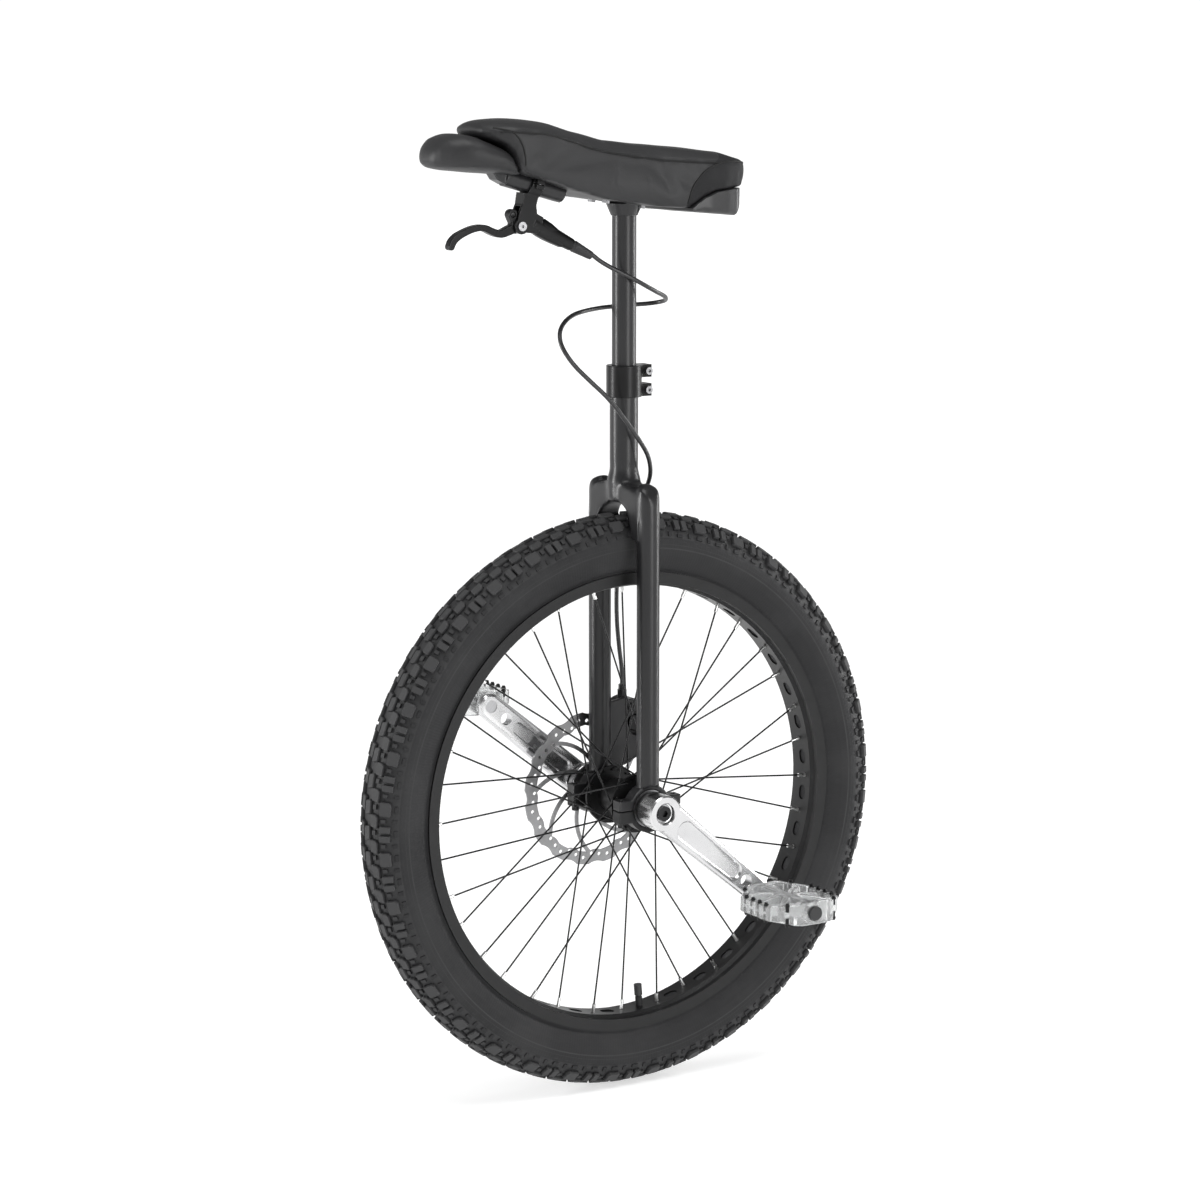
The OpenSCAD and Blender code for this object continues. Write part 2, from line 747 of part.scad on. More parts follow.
module caliper_bolts() {
    color("#4a4a4e") at_caliper() for (s = [-1, 1])
        screw_y([0, s * cal_bolt], -bracket_in + 4, -cal_in - 7.5, 2.9, 4.6, 4);
}

fitting = [-36, -62];
module hose_fitting() {
    color("#2c2c2e") difference() {
        translate([fitting[0], fitting[1], axle_h + cal[1]]) union() {
            cylinder(r = 6, h = 37, $fn = 6);
            cylinder(r = 4.2, h = 43);
        }
        translate([fitting[0], fitting[1], axle_h + cal[1] + 32.5]) cylinder(r = hose_d / 2 + run, h = far);
        caliper_block();
    }
}

// ---------- Seatpost and saddle ----------
seat_z = axle_h + seat_h;
post_bottom = neck_top_z - post_insert;
plate_t = 5;
base_t = 5;
tan_tilt = tan(saddle_tilt);

// Height of the straight part of the saddle base's underside
function under(x) = seat_z + x * tan_tilt;

base_line = [[-105, under(-105)], [45, under(45)], [116, seat_z + 34], [186, seat_z + 48]];

module seatpost() {
    color("#202022") difference() {
        translate([0, 0, post_bottom]) cylinder(r = post_r, h = seat_z - plate_t - 6 - post_bottom);
        translate([0, 0, post_bottom - eps]) cylinder(r = post_r - post_wall, h = far + seat_h);
    }
}

module on_plate() {
    translate([0, 0, seat_z]) rotate([0, -saddle_tilt, 0]) children();
}

plate_front = 38;
plate_back = 20;
plate_half = 21;
module post_plate() {
    color("#202022") difference() {
        union() {
            on_plate() translate([-plate_back, -plate_half, -plate_t])
                cube([plate_back + plate_front, 2 * plate_half, plate_t]);
            intersection() {
                translate([0, 0, seat_z - plate_t - 14]) cylinder(r1 = post_r + 1, r2 = post_r + 7, h = 14);
                on_plate() translate([-far, -far, -far]) cube([2 * far, 2 * far, far]);
            }
        }
        translate([0, 0, seat_z - 60]) cylinder(r = post_r, h = 60 - plate_t - 6);
        on_plate() plate_bolt_places() {
            translate([0, 0, -plate_t - 1]) cylinder(r = 3.2, h = plate_t + 2);
            translate([0, 0, -plate_t - 20]) cylinder(r = 5.2, h = 20);
        }
    }
}

module plate_bolt_places() {
    for (x = [-plate_back + 6, plate_front - 6], y = [-plate_half + 6, plate_half - 6])
        translate([x, y, 0]) children();
}

module saddle_bolts() {
    color("#55555a") on_plate() plate_bolt_places() {
        translate([0, 0, -plate_t - 4]) cylinder(r = 4.8, h = 4, $fn = 6);
        translate([0, 0, -plate_t - 1]) cylinder(r = 2.95, h = plate_t + base_t + 0.5);
    }
}

base_half = 34;
module base_outline(up) {
    polygon(concat(base_line, [for (i = [3 : -1 : 0]) base_line[i] + [0, up]]));
}

module saddle_base() {
    color("#28282b") difference() {
        side_plate(-base_half, base_half) base_outline(base_t);
        on_plate() plate_bolt_places() translate([0, 0, -30]) cylinder(r = 3, h = 60);
    }
}

// Room under the saddle for its base, open underneath
module under_room() {
    side_plate(-base_half, base_half) union() {
        base_outline(base_t);
        polygon(concat(base_line, [for (i = [3 : -1 : 0]) base_line[i] - [0, 60]]));
    }
}

// Half outline of the saddle from above, back to front
plan = [[-130, 0], [-129, saddle_rear - 22], [-122, saddle_rear - 8], [-108, saddle_rear],
    [-80, saddle_rear], [-40, saddle_rear - 8], [0, saddle_waist + 4], [40, saddle_waist],
    [90, saddle_front - 2], [130, saddle_front], [165, saddle_front - 4], [196, saddle_front - 24],
    [206, 20], [208, 0]];
handle_plan = [[100, 0], [100, handle_half], [150, handle_half + 4], [190, handle_half + 3],
    [222, handle_half - 6], [240, handle_half - 22], [248, handle_half - 40], [248, 0]];

module plan_prism(points) {
    translate([0, 0, axle_h]) linear_extrude(seat_h + far) polygon(concat(points,
        [for (i = [len(points) - 1 : -1 : 0]) [points[i][0], -points[i][1]]]));
}

// Outlines of the saddle's pieces from the side, heights above the base
function lift(points) = [for (p = points) [p[0], seat_z + p[1]]];

pad_top = [[-128, 38], [-118, 46], [-96, 49], [-51, 55], [-7, 58], [37, 62], [80, 72], [120, 84],
    [157, 88], [182, 87], [197, 80]];
pad_split = [[166, 64], [140, 54], [128, 40], [117, 27]];
pad_under = [[53, 5], [9, -7], [-60, -15]];
module saddle_pad() {
    color("#3a3a3d") difference() {
        intersection() {
            side_plate(-100, 100) polygon(lift(concat(pad_top, pad_split, pad_under,
                [[-62, -8], [-80, 6], [-104, 11], [-127, 12]])));
            plan_prism(plan);
        }
        under_room();
    }
}

module front_handle() {
    color("#38383b") difference() {
        intersection() {
            side_plate(-100, 100) polygon(lift([[118, 25.6], [129.6, 39], [141.4, 52.6], [167, 62.6], [196, 74],
                [217, 74], [235, 69], [245, 60], [248, 48], [246, 36], [224, 33], [190, 30], [155, 27]]));
            plan_prism(handle_plan);
        }
        under_room();
    }
}

module rear_bumper() {
    color("#4a4a4e") difference() {
        intersection() {
            side_plate(-100, 100) polygon(lift([[-126, 11], [-104, 10], [-81, 5], [-63, -8.6], [-61, -16],
                [-100, -19.4], [-108, -17], [-120, 0]]));
            plan_prism([for (p = plan) [p[0], max(0, p[1] - 2)]]);
        }
        under_room();
    }
}

// ---------- Brake lever ----------
lever_y = 14;
bar_back = [88, seat_z + 8];
bar_front = [160, seat_z + 27.6];
bar_slope = atan2(bar_front[1] - bar_back[1], bar_front[0] - bar_back[0]);
bar_l = norm(bar_front - bar_back);
bar_r = bar_d / 2;
pivot = [142, seat_z - 26.4];
clamp_at = 30;
clamp_w = 15;

// A frame at the back end of the bar, Z along it
module on_bar(s = 0) {
    translate([bar_back[0], lever_y, bar_back[1]]) rotate([0, 90 - bar_slope, 0]) translate([0, 0, s])
        children();
}

module brake_bar() {
    color("#1b1b1d") difference() {
        union() {
            on_bar() cylinder(r = bar_r, h = bar_l);
            side_plate(lever_y - 9, lever_y + 9) polygon([bar_front + [-10, 0], bar_front + [2, -9],
                bar_front + [12, -4], bar_front + [20, 8], bar_front + [22, 21], bar_front + [-4, 21]]);
        }
        on_bar(-eps) cylinder(r = bar_r - 2, h = bar_l - 12);
        side_plate(-base_half, base_half) union() {
            base_outline(base_t);
            base_outline(40);
        }
    }
}

ear_w = 8;
ear_bolt = bar_r + 4.6;

// Round clamp with an ear on each side of the bar; its upper half bolts to its lower half
module clamp_blank() {
    on_bar(clamp_at) {
        cylinder(r = bar_r + 3.6, h = clamp_w);
        translate([-5, -bar_r - ear_w, 2.5]) cube([10, 2 * bar_r + 2 * ear_w, clamp_w - 5]);
    }
}

module clamp_bolt_places() {
    on_bar(clamp_at + clamp_w / 2) for (s = [-1, 1]) translate([0, s * ear_bolt, 0]) rotate([0, 90, 0])
        children();
}

module lever_clamp() {
    color("#161617") difference() {
        clamp_blank();
        on_bar(-eps) cylinder(r = bar_r + run, h = bar_l);
        on_bar(-eps) translate([-0.2, -far, 0]) cube([far, 2 * far, far]);
        clamp_bolt_places() {
            translate([0, 0, -10]) cylinder(r = 2.2, h = 20);
            translate([0, 0, -25]) cylinder(r = 3.6, h = 20);
        }
    }
}

module lever_clamp_bolts() {
    color("silver") clamp_bolt_places() difference() {
        union() {
            translate([0, 0, -8]) cylinder(r = 3.4, h = 3);
            translate([0, 0, -6]) cylinder(r = 2.1, h = 10);
        }
        translate([0, 0, -9]) cylinder(r = 1.5, h = 3, $fn = 6);
    }
}

// Direction of the master cylinder, down and back
cyl_slope = 26.4;
cyl_l = 56;
cyl_start = pivot + [-16, 3];
module on_cylinder(s = 0) {
    translate([cyl_start[0], lever_y, cyl_start[1]]) rotate([0, -90 - cyl_slope, 0])
        translate([0, 0, s]) children();
}

cheek = 9;
blade_half = 5;
pivot_r = 3;
piston_r = 5;

module lever_body() {
    color("#161617") difference() {
        union() {
            side_plate(lever_y - cheek, lever_y + cheek) translate(pivot) union() {
                circle(r = 8.6);
                polygon([[6, 2], [3, 15], [-1, 24], [-3, 36], [-21, 33], [-18, 22], [-19, 13], [-27, 9],
                    [-20, -8], [-8, -7.2], [0, -6]]);
            }
            on_cylinder() cylinder(r1 = 10, r2 = 6.8, h = cyl_l);
            clamp_blank();
        }
        on_bar(-eps) cylinder(r = bar_r + run, h = bar_l + 20);
        on_bar(-eps) translate([-far, -far, 0]) cube([far + 0.2, 2 * far, far]);
        clamp_bolt_places() translate([0, 0, -10]) cylinder(r = 2.15, h = 20);
        side_plate(lever_y - blade_half - 0.4, lever_y + blade_half + 0.4) union() {
            translate(pivot) circle(r = 12.5);
            translate(pivot + [0, 12]) circle(r = 9.5);
        }
        on_cylinder(-30) cylinder(r = piston_r + run, h = 70);
        on_cylinder(38) cylinder(r = 1.5, h = 30);
        pin_y(pivot, -far, far, pivot_r);
    }
}

module pivot_pin() {
    color("silver") difference() {
        union() {
            pin_y(pivot, lever_y - cheek - 1.5, lever_y + cheek + 1.5, pivot_r);
            for (s = [-1, 1]) pin_y(pivot, lever_y + s * (cheek + 0.75) - 0.75,
                lever_y + s * (cheek + 0.75) + 0.75, pivot_r + 2);
        }
        pin_y(pivot, lever_y + cheek - 1, lever_y + cheek + 4, 1.8);
    }
}

module hose_boot() {
    color("#101011") difference() {
        union() {
            on_cylinder(cyl_l) cylinder(r = 6, h = 4);
            on_cylinder(cyl_l + 3) cylinder(r1 = 6.6, r2 = 4.6, h = 25);
        }
        on_cylinder(cyl_l - eps) cylinder(r = hose_d / 2, h = 60);
    }
}

blade = [[0, 0], [12.6, -4.3], [22.7, -7.6], [32.9, -5], [40.9, -1.4], [49, -0.4], [59.1, -2.4],
    [69.1, -6.3], [76.1, -10.1], [80.8, -14.7], [83.2, -19.9]];
blade_r = [5, 5, 4.2, 3.9, 3.7, 3.5, 3.5, 3.6, 3.8, 3.8, 3.7];
blade_steps = 3;
blade_stop = [8, 12.4];
blade_line = [for (k = [0 : blade_steps * (len(blade) - 1)]) curve_at(blade, k / blade_steps)];
function blade_width(k) = lookup(k / blade_steps, [for (i = [0 : len(blade) - 1]) [i, blade_r[i]]]);
function blade_edge(k, s) = let (last = len(blade_line) - 1,
    d = unit(blade_line[min(k + 1, last)] - blade_line[max(k - 1, 0)]))
    blade_line[k] + s * blade_width(k) * [-d[1], d[0]];

module blade_outline() {
    last = len(blade_line) - 1;
    tip = blade_line[last];
    heading = atan2(blade_line[last][1] - blade_line[last - 1][1], blade_line[last][0] - blade_line[last - 1][0]);
    polygon(concat([for (k = [2 : last]) blade_edge(k, 1)],
        [for (a = [60 : -30 : -60]) tip + blade_width(last) * [cos(heading + a), sin(heading + a)]],
        [for (k = [last : -1 : 2]) blade_edge(k, -1)],
        [for (a = [-60 : -10 : -240]) 8 * [cos(a), sin(a)]],
        [for (a = [170 : -10 : -10]) blade_stop + 6.2 * [cos(a), sin(a)]]));
}

module lever_blade() {
    color("#2a2a2c") difference() {
        side_plate(lever_y - blade_half, lever_y + blade_half) translate(pivot) difference() {
            blade_outline();
            translate(blade_stop) circle(r = 2.6);
        }
        pin_y(pivot, -far, far, pivot_r + run);
    }
}

module master_piston() {
    color("silver") {
        on_cylinder(8) cylinder(r = piston_r, h = 16);
        on_cylinder(-8) cylinder(r = 1.6, h = 17);
    }
}

// ---------- Brake hose ----------
// Route from the lever's boot, round the seatpost and down behind the right leg to the caliper
hose_route = [[49, 14, 942], [40, 16, 935], [28, 18, 928], [14, 21, 921], [0, 23, 914], [-16, 22, 906],
    [-32, 17, 899], [-48, 8, 893], [-56, -4, 888], [-54, -16, 885], [-44, -26, 883], [-28, -33, 882],
    [-10, -35, 881], [10, -34, 880], [34, -27, 878], [54, -18, 875], [72, -6, 869], [84, 4, 860],
    [88, 12, 848], [84, 18, 835], [74, 22, 821], [58, 26, 805], [42, 29, 790], [28, 30, 775],
    [14, 30, 758], [-2, 29, 738], [-16, 24, 720], [-26, 14, 702], [-32, 0, 686], [-36, -18, 672],
    [-38, -36, 658], [-36, -50, 640], [-33, -57, 618], [-30, -60, 590], [-28, -61, 555],
    [-29, -62, 521], [-32, -62, 490], [-35, -62, 468], [-36, -62, 452], [-36, -62, 436]];

hose_rings = 2 * (len(hose_route) - 1);
hose_sides = 8;
function hose_dir(t) = unit(curve_at(hose_route, min(t + 0.2, len(hose_route) - 1))
    - curve_at(hose_route, max(t - 0.2, 0)));
// Sideways direction of the next ring, kept from twisting
function carry(side, dir) = unit(side - dir * (side * dir));
hose_frames = [for (k = 0, dir = hose_dir(0), side = carry([0, 1, 0], dir); k <= hose_rings;
    k = k + 1, dir = hose_dir(k / 2), side = carry(side, dir)) [curve_at(hose_route, k / 2), side, cross(dir, side)]];

module brake_hose() {
    points = [for (f = hose_frames, j = [0 : hose_sides - 1])
        f[0] + hose_d / 2 * (cos(360 * j / hose_sides) * f[1] + sin(360 * j / hose_sides) * f[2])];
    last = hose_rings * hose_sides;
    walls = [for (k = [0 : hose_rings - 1], j = [0 : hose_sides - 1]) let (a = k * hose_sides,
        n = (j + 1) % hose_sides) [a + j, a + hose_sides + j, a + hose_sides + n, a + n]];
    ends = [[for (j = [0 : hose_sides - 1]) j], [for (j = [hose_sides - 1 : -1 : 0]) last + j]];
    color("#18181a") polyhedron(points, concat(walls, ends));
}

// ---------- Pedals ----------
pedal_in = crank_y + 7;
pedal_out = pedal_in + pedal_w;
pedal_bore = 5.5;
corner = 24;
rail = 9;
pin_r = 2;
pin_in = 6.5;
pedal_flat = 14;
pin_face = pin_r + 1.2;

// Half the pedal's thickness at a distance from its axle
function pedal_face(x) = pedal_h / 2
    - max(0, abs(x) - pedal_flat) * (pedal_h - pedal_edge) / (pedal_l - 2 * pedal_flat);

module at_left_pedal() {
    translate([crank_l * cos(left_dir), 0, axle_h - crank_l * sin(left_dir)]) children();
}

module at_right_pedal() {
    translate([-crank_l * cos(left_dir), 0, axle_h + crank_l * sin(left_dir)]) mirror([0, 1, 0]) children();
}

module octagon2d(inset) {
    x = pedal_l / 2 - inset;
    y0 = pedal_in + inset;
    y1 = pedal_out - inset;
    c = corner - inset * 0.6;
    polygon([[-x, y0 + c], [-x, y1 - c], [-x + c, y1], [x - c, y1], [x, y1 - c], [x, y0 + c],
        [x - c, y0], [-x + c, y0]]);
}

module pedal_wedge(inset) {
    x = pedal_l / 2 + 1;
    edge = pedal_face(x) - inset;
    high = pedal_h / 2 - inset;
    translate([0, pedal_out + 1, 0]) rotate([90, 0, 0]) linear_extrude(pedal_w + 2)
        polygon([[-x, -edge], [-pedal_flat, -high], [pedal_flat, -high], [x, -edge],
            [x, edge], [pedal_flat, high], [-pedal_flat, high], [-x, edge]]);
}

module pedal_body() {
    mid = (pedal_in + pedal_out) / 2;
    strut = 7;
    color("#d8dde0") difference() {
        union() {
            intersection() {
                pedal_wedge(0);
                translate([0, 0, -pedal_h]) linear_extrude(2 * pedal_h) difference() {
                    octagon2d(0);
                    octagon2d(rail);
                }
            }
            pin_y([0, 0], pedal_in, pedal_out, 11.5);
            for (s = [-1, 1]) intersection() {
                translate([0, mid, 0]) rotate([0, 0, s * 45])
                    translate([-pedal_l, -strut / 2, -pedal_h]) cube([2 * pedal_l, strut, 2 * pedal_h]);
                translate([0, 0, -pedal_h]) linear_extrude(2 * pedal_h) octagon2d(1);
                pedal_wedge(2);
            }
            intersection() {
                translate([-pedal_l / 2 + 3, mid - strut / 2, -pedal_h]) cube([pedal_l - 6, strut, 2 * pedal_h]);
                pedal_wedge(2);
            }
        }
        pin_y([0, 0], pedal_in - eps, pedal_out + eps, pedal_bore + run);
        pin_y([0, 0], pedal_out - 6, pedal_out + eps, 8);
        pedal_pin_places() {
            cylinder(r = pin_r, h = pin_in + 1);
            translate([0, 0, pin_in]) cylinder(r = pin_face, h = 6);
        }
    }
}

// Four pins on the front and back rails, and one in each corner, on both faces
module pedal_pin_places() {
    mid = (pedal_in + pedal_out) / 2;
    rail_x = pedal_l / 2 - 4;
    end_x = pedal_l / 2 - 17;
    for (flip = [0, 180], sx = [-1, 1]) rotate([0, flip, 0]) {
        for (k = [-1.5 : 1 : 1.5])
            translate([sx * rail_x, mid + 13 * k, pedal_face(rail_x + pin_face) - pin_in]) children();
        for (sy = [-1, 1])
            translate([sx * end_x, mid + sy * (pedal_w / 2 - 8), pedal_face(end_x + pin_face) - pin_in])
                children();
    }
}

module pedal_pins() {
    color("#1a1a1c") pedal_pin_places() {
        cylinder(r = pin_r - 0.02, h = pin_in + 3.4);
        translate([0, 0, pin_in]) cylinder(r = pin_r + 0.9, h = 1.8, $fn = 6);
    }
}

module pedal_cap() {
    color("#111112") pin_y([0, 0], pedal_out - 6, pedal_out + 3, 7.95);
}

module pedal_spindle() {
    color("silver") {
        pin_y([0, 0], crank_y - crank_t + 1, crank_y + eps, pedal_thread_r - 0.01);
        pin_y([0, 0], crank_y, crank_y + 4, 9.5);
        pin_y([0, 0], crank_y, pedal_out - 10, pedal_bore);
        pin_y([0, 0], crank_y + 3, pedal_in - 1, 8);
    }
}

module pedal_spindles() {
    at_left_pedal() pedal_spindle();
    at_right_pedal() pedal_spindle();
}

module left_pedal_body() { at_left_pedal() pedal_body(); }
module left_pedal_pins() { at_left_pedal() pedal_pins(); }
module left_pedal_cap() { at_left_pedal() pedal_cap(); }
module right_pedal_body() { at_right_pedal() pedal_body(); }
module right_pedal_pins() { at_right_pedal() pedal_pins(); }
module right_pedal_cap() { at_right_pedal() pedal_cap(); }

seat_tube();
crown();
left_leg();
right_leg();
bearing_housings();
bearing_caps();
bearing_cap_bolts();
outer_races();
bearing_seals();
caliper_bracket();
seat_clamp();
seat_clamp_bolts();
caliper_body();
caliper_bolts();
hose_fitting();
brake_hose();
bearing_balls();
inner_brake_pad();
outer_brake_pad();
inner_piston();
outer_piston();
seatpost();
post_plate();
saddle_bolts();
saddle_base();
saddle_pad();
front_handle();
rear_bumper();
brake_bar();
lever_clamp();
lever_clamp_bolts();
lever_body();
pivot_pin();
hose_boot();
lever_blade();
master_piston();
tyre();
inner_tube();
rim();
rim_strip();
valve_stem();
valve_cap();
spokes();
spoke_nipples();
hub_shell();
axle_spindle();
axle_spacers();
inner_races();
left_crank();
right_crank();
crank_bolts();
brake_rotor();
rotor_bolts();
pedal_spindles();
left_pedal_body();
left_pedal_pins();
left_pedal_cap();
right_pedal_body();
right_pedal_pins();
right_pedal_cap();
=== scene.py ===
import math

import bmesh
import bpy
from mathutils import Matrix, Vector
from mathutils.bvhtree import BVHTree


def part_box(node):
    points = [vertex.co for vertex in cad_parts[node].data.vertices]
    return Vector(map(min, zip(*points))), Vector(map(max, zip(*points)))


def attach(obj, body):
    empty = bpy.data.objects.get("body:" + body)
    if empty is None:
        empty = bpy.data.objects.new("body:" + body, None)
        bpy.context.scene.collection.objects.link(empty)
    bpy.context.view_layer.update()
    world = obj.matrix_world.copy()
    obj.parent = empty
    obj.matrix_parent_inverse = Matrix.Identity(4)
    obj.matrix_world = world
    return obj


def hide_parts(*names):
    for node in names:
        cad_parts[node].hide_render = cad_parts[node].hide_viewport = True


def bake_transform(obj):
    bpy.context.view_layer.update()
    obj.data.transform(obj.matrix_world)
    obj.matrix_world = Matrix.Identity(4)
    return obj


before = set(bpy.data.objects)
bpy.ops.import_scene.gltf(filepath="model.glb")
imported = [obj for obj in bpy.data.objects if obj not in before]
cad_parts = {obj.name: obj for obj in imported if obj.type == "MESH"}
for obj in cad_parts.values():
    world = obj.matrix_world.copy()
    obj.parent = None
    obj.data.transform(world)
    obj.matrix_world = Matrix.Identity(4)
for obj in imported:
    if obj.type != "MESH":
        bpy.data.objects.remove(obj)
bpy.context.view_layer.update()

# ---- Camera ----
# A long lens at knee height, behind and to the left of the rider, so that the wheel is seen
# three-quarters on with the left crank and pedal nearest.
eye = Vector((1.8597, 3.0244, 1.1510))
aim = Vector((0.02268, -0.01372, 0.55560))
camera = bpy.data.objects.new("camera", bpy.data.cameras.new("camera"))
camera.data.lens = 96.6
camera.data.sensor_width = 36
camera.location = eye
camera.rotation_euler = (aim - eye).to_track_quat("-Z", "Y").to_euler()
bpy.context.scene.collection.objects.link(camera)
bpy.context.scene.camera = camera


# ---- Studio floor ----
# A white painted board under the wheel, smooth enough to give back a faint, soft image of the
# tyre that stands on it.
class Value:
    """A socket of a node tree; Python's operators on it add Math nodes."""

    def __init__(self, nodes, socket):
        self.nodes = nodes
        self.socket = socket

    def maths(self, operation, first, second=0.0):
        return self.nodes.node("Math", {"operation": operation}, {0: first, 1: second})

    def __add__(self, other):
        return self.maths("ADD", self, other)

    def __radd__(self, other):
        return self.maths("ADD", other, self)

    def __sub__(self, other):
        return self.maths("SUBTRACT", self, other)

    def __rsub__(self, other):
        return self.maths("SUBTRACT", other, self)

    def __mul__(self, other):
        return self.maths("MULTIPLY", self, other)

    def __rmul__(self, other):
        return self.maths("MULTIPLY", other, self)

    def __pow__(self, other):
        return self.maths("POWER", self, other)

    def sin(self):
        return self.maths("SINE", self)

    def most(self, other):
        return self.maths("MAXIMUM", self, other)

    def step(self, low, high):
        """0 below low, 1 above high, and smooth between them."""
        settings = {"interpolation_type": "SMOOTHSTEP"}
        return self.nodes.node("MapRange", settings, {0: self, 1: low, 2: high})


class Nodes:
    """A node tree, to which node() adds any node."""

    def __init__(self, tree):
        self.tree = tree

    def put(self, socket, value):
        if isinstance(value, Value):
            self.tree.links.new(value.socket, socket)
        elif socket.type == "RGBA":
            socket.default_value = (*value, 1)
        else:
            socket.default_value = value

    def node(self, kind, settings=None, inputs=None, output=0):
        made = self.tree.nodes.new("ShaderNode" + kind)
        for name, value in (settings or {}).items():
            if name == "stops":
                ramp = made.color_ramp
                for place, colour in value[len(ramp.elements):]:
                    ramp.elements.new(place)
                for element, (place, colour) in zip(ramp.elements, value):
                    element.position = place
                    element.color = (*colour, 1)
            else:
                setattr(made, name, value)
        for name, value in (inputs or {}).items():
            self.put(made.inputs[name], value)
        return Value(self, made.outputs[output])


class Paint(Nodes):
    """A material; coat() sets the sockets of its shader."""

    def __init__(self, name, **sockets):
        self.material = bpy.data.materials.new(name)
        self.material.use_nodes = True
        super().__init__(self.material.node_tree)
        self.shader = self.tree.nodes["Principled BSDF"]
        self.coat(**sockets)

    def coat(self, **sockets):
        for name, value in sockets.items():
            label = name.replace("_", " ").title().replace("Ior", "IOR")
            self.put(self.shader.inputs[label], value)
        return self

    def place(self):
        """Where a point is on its own piece, in metres."""
        return self.node("TexCoord", output="Object")

    def parts(self, place):
        """The x, y and z of a place."""
        split = self.node("SeparateXYZ", {}, {0: place})
        outputs = split.socket.node.outputs
        return [Value(self, outputs[k]) for k in range(3)]

    def noise(self, scale, detail=2.0, vector=None):
        inputs = {
            "Vector": vector or self.place(),
            "Scale": scale,
            "Detail": detail,
        }
        return self.node("TexNoise", {}, inputs)

    def mix(self, mask, first, second):
        """The first colour where mask is 0, and the second where it is 1."""
        return self.node("Mix", {"data_type": "RGBA"}, {0: mask, 6: first, 7: second}, output=2)

    def bump(self, height, strength, distance):
        inputs = {"Height": height, "Strength": strength, "Distance": distance}
        return self.coat(normal=self.node("Bump", {}, inputs))


board = Paint("white_board", specular_ior_level=0.5, roughness=0.12)
board.coat(base_color=board.mix(board.noise(3.0), (0.80, 0.80, 0.80), (0.82, 0.82, 0.82)))
board.coat(emission_color=(1, 1, 1), emission_strength=0.56)
bpy.ops.mesh.primitive_plane_add(size=40)
floor = bpy.context.object
floor.name = "floor"
floor.data.materials.append(board.material)

# ---- Studio light ----
# A white room, dark above, with a tall soft box on each side, one above and one behind.
world = bpy.data.worlds.new("white_room")
world.use_nodes = True
sky = Nodes(world.node_tree)
wall_height = sky.node("SeparateXYZ", {}, {0: sky.node("TexCoord", output="Generated")}, output=2)
wall_shades = [(0.10, (1.05, 1.05, 1.05)), (0.34, (0.22, 0.22, 0.22))]
wall_colour = sky.node("ValToRGB", {"stops": wall_shades}, {"Fac": wall_height})
sky.put(world.node_tree.nodes["Background"].inputs["Color"], wall_colour)
bpy.context.scene.world = world
bpy.context.scene.view_settings.view_transform = "Standard"
lit_point = Vector((0, 0, 0.55))


def soft_box(name, place, size, watts):
    """A rectangular lamp, (width, height) in size, turned to the middle of the unicycle."""
    lamp = bpy.data.lights.new(name, "AREA")
    lamp.shape = "RECTANGLE"
    lamp.size, lamp.size_y = size
    lamp.energy = watts
    box = bpy.data.objects.new(name, lamp)
    box.visible_camera = False
    box.location = place
    box.rotation_euler = (lit_point - Vector(place)).to_track_quat("-Z", "Y").to_euler()
    bpy.context.scene.collection.objects.link(box)


soft_box("left_box", (3.1, -1.2, 0.98), (0.30, 1.9), 70)
soft_box("right_box", (-0.5, 3.6, 1.2), (1.1, 2.2), 46)
soft_box("top_box", (0.4, 0.6, 3.4), (2.2, 2.2), 60)
soft_box("rim_box", (-2.9, 0.6, 1.0), (0.4, 1.9), 40)

# ---- Tyre ----
# A wide knobbly tyre: a rubber casing on two beads with rows of moulded blocks, low and close
# along the middle and taller on the shoulders, and short lugs where the sidewall begins.
axle = Vector((0, 0, (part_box("tyre")[0].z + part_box("tyre")[1].z) / 2))
tyre_r = (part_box("tyre")[1].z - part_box("tyre")[0].z) / 2
half_w = (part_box("tyre")[1].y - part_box("tyre")[0].y) / 2
ring_r = tyre_r - half_w
casing = half_w - 0.0038


def around(radius, y, angle):
    """A point at a radius from the axle and a distance from the centre plane."""
    return Vector((radius * math.cos(angle), y, axle.z + radius * math.sin(angle)))


def piece(name, points, faces, paint, body, sharp=35):
    """A mesh object with its outside outwards, its paint, and shading that breaks at sharp edges."""
    mesh = bpy.data.meshes.new(name)
    mesh.from_pydata([tuple(p) for p in points], [], faces)
    mesh.validate()
    made = bpy.data.objects.new(name, mesh)
    bpy.context.scene.collection.objects.link(made)
    tidy(made, paint, sharp)
    if body:
        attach(made, body)
    return made


def tidy(made, paint, sharp=35):
    """Turns the faces outwards, shades them smooth but for sharp edges, and puts the paint on."""
    shape = bmesh.new()
    shape.from_mesh(made.data)
    bmesh.ops.recalc_face_normals(shape, faces=shape.faces)
    for edge in shape.edges:
        edge.smooth = len(edge.link_faces) < 2 or edge.calc_face_angle(0) < math.radians(sharp)
    for face in shape.faces:
        face.smooth = True
    shape.to_mesh(made.data)
    shape.free()
    made.data.materials.clear()
    made.data.materials.append(paint.material)


def stack(rings):
    """Points and faces of a closed solid through loops of the same length."""
    n = len(rings[0])
    points = [p for ring in rings for p in ring]
    faces = [
        (k * n + j, k * n + (j + 1) % n, (k + 1) * n + (j + 1) % n, (k + 1) * n + j)
        for k in range(len(rings) - 1)
        for j in range(n)
    ]
    faces.append(tuple(reversed(range(n))))
    faces.append(tuple((len(rings) - 1) * n + j for j in range(n)))
    return points, faces


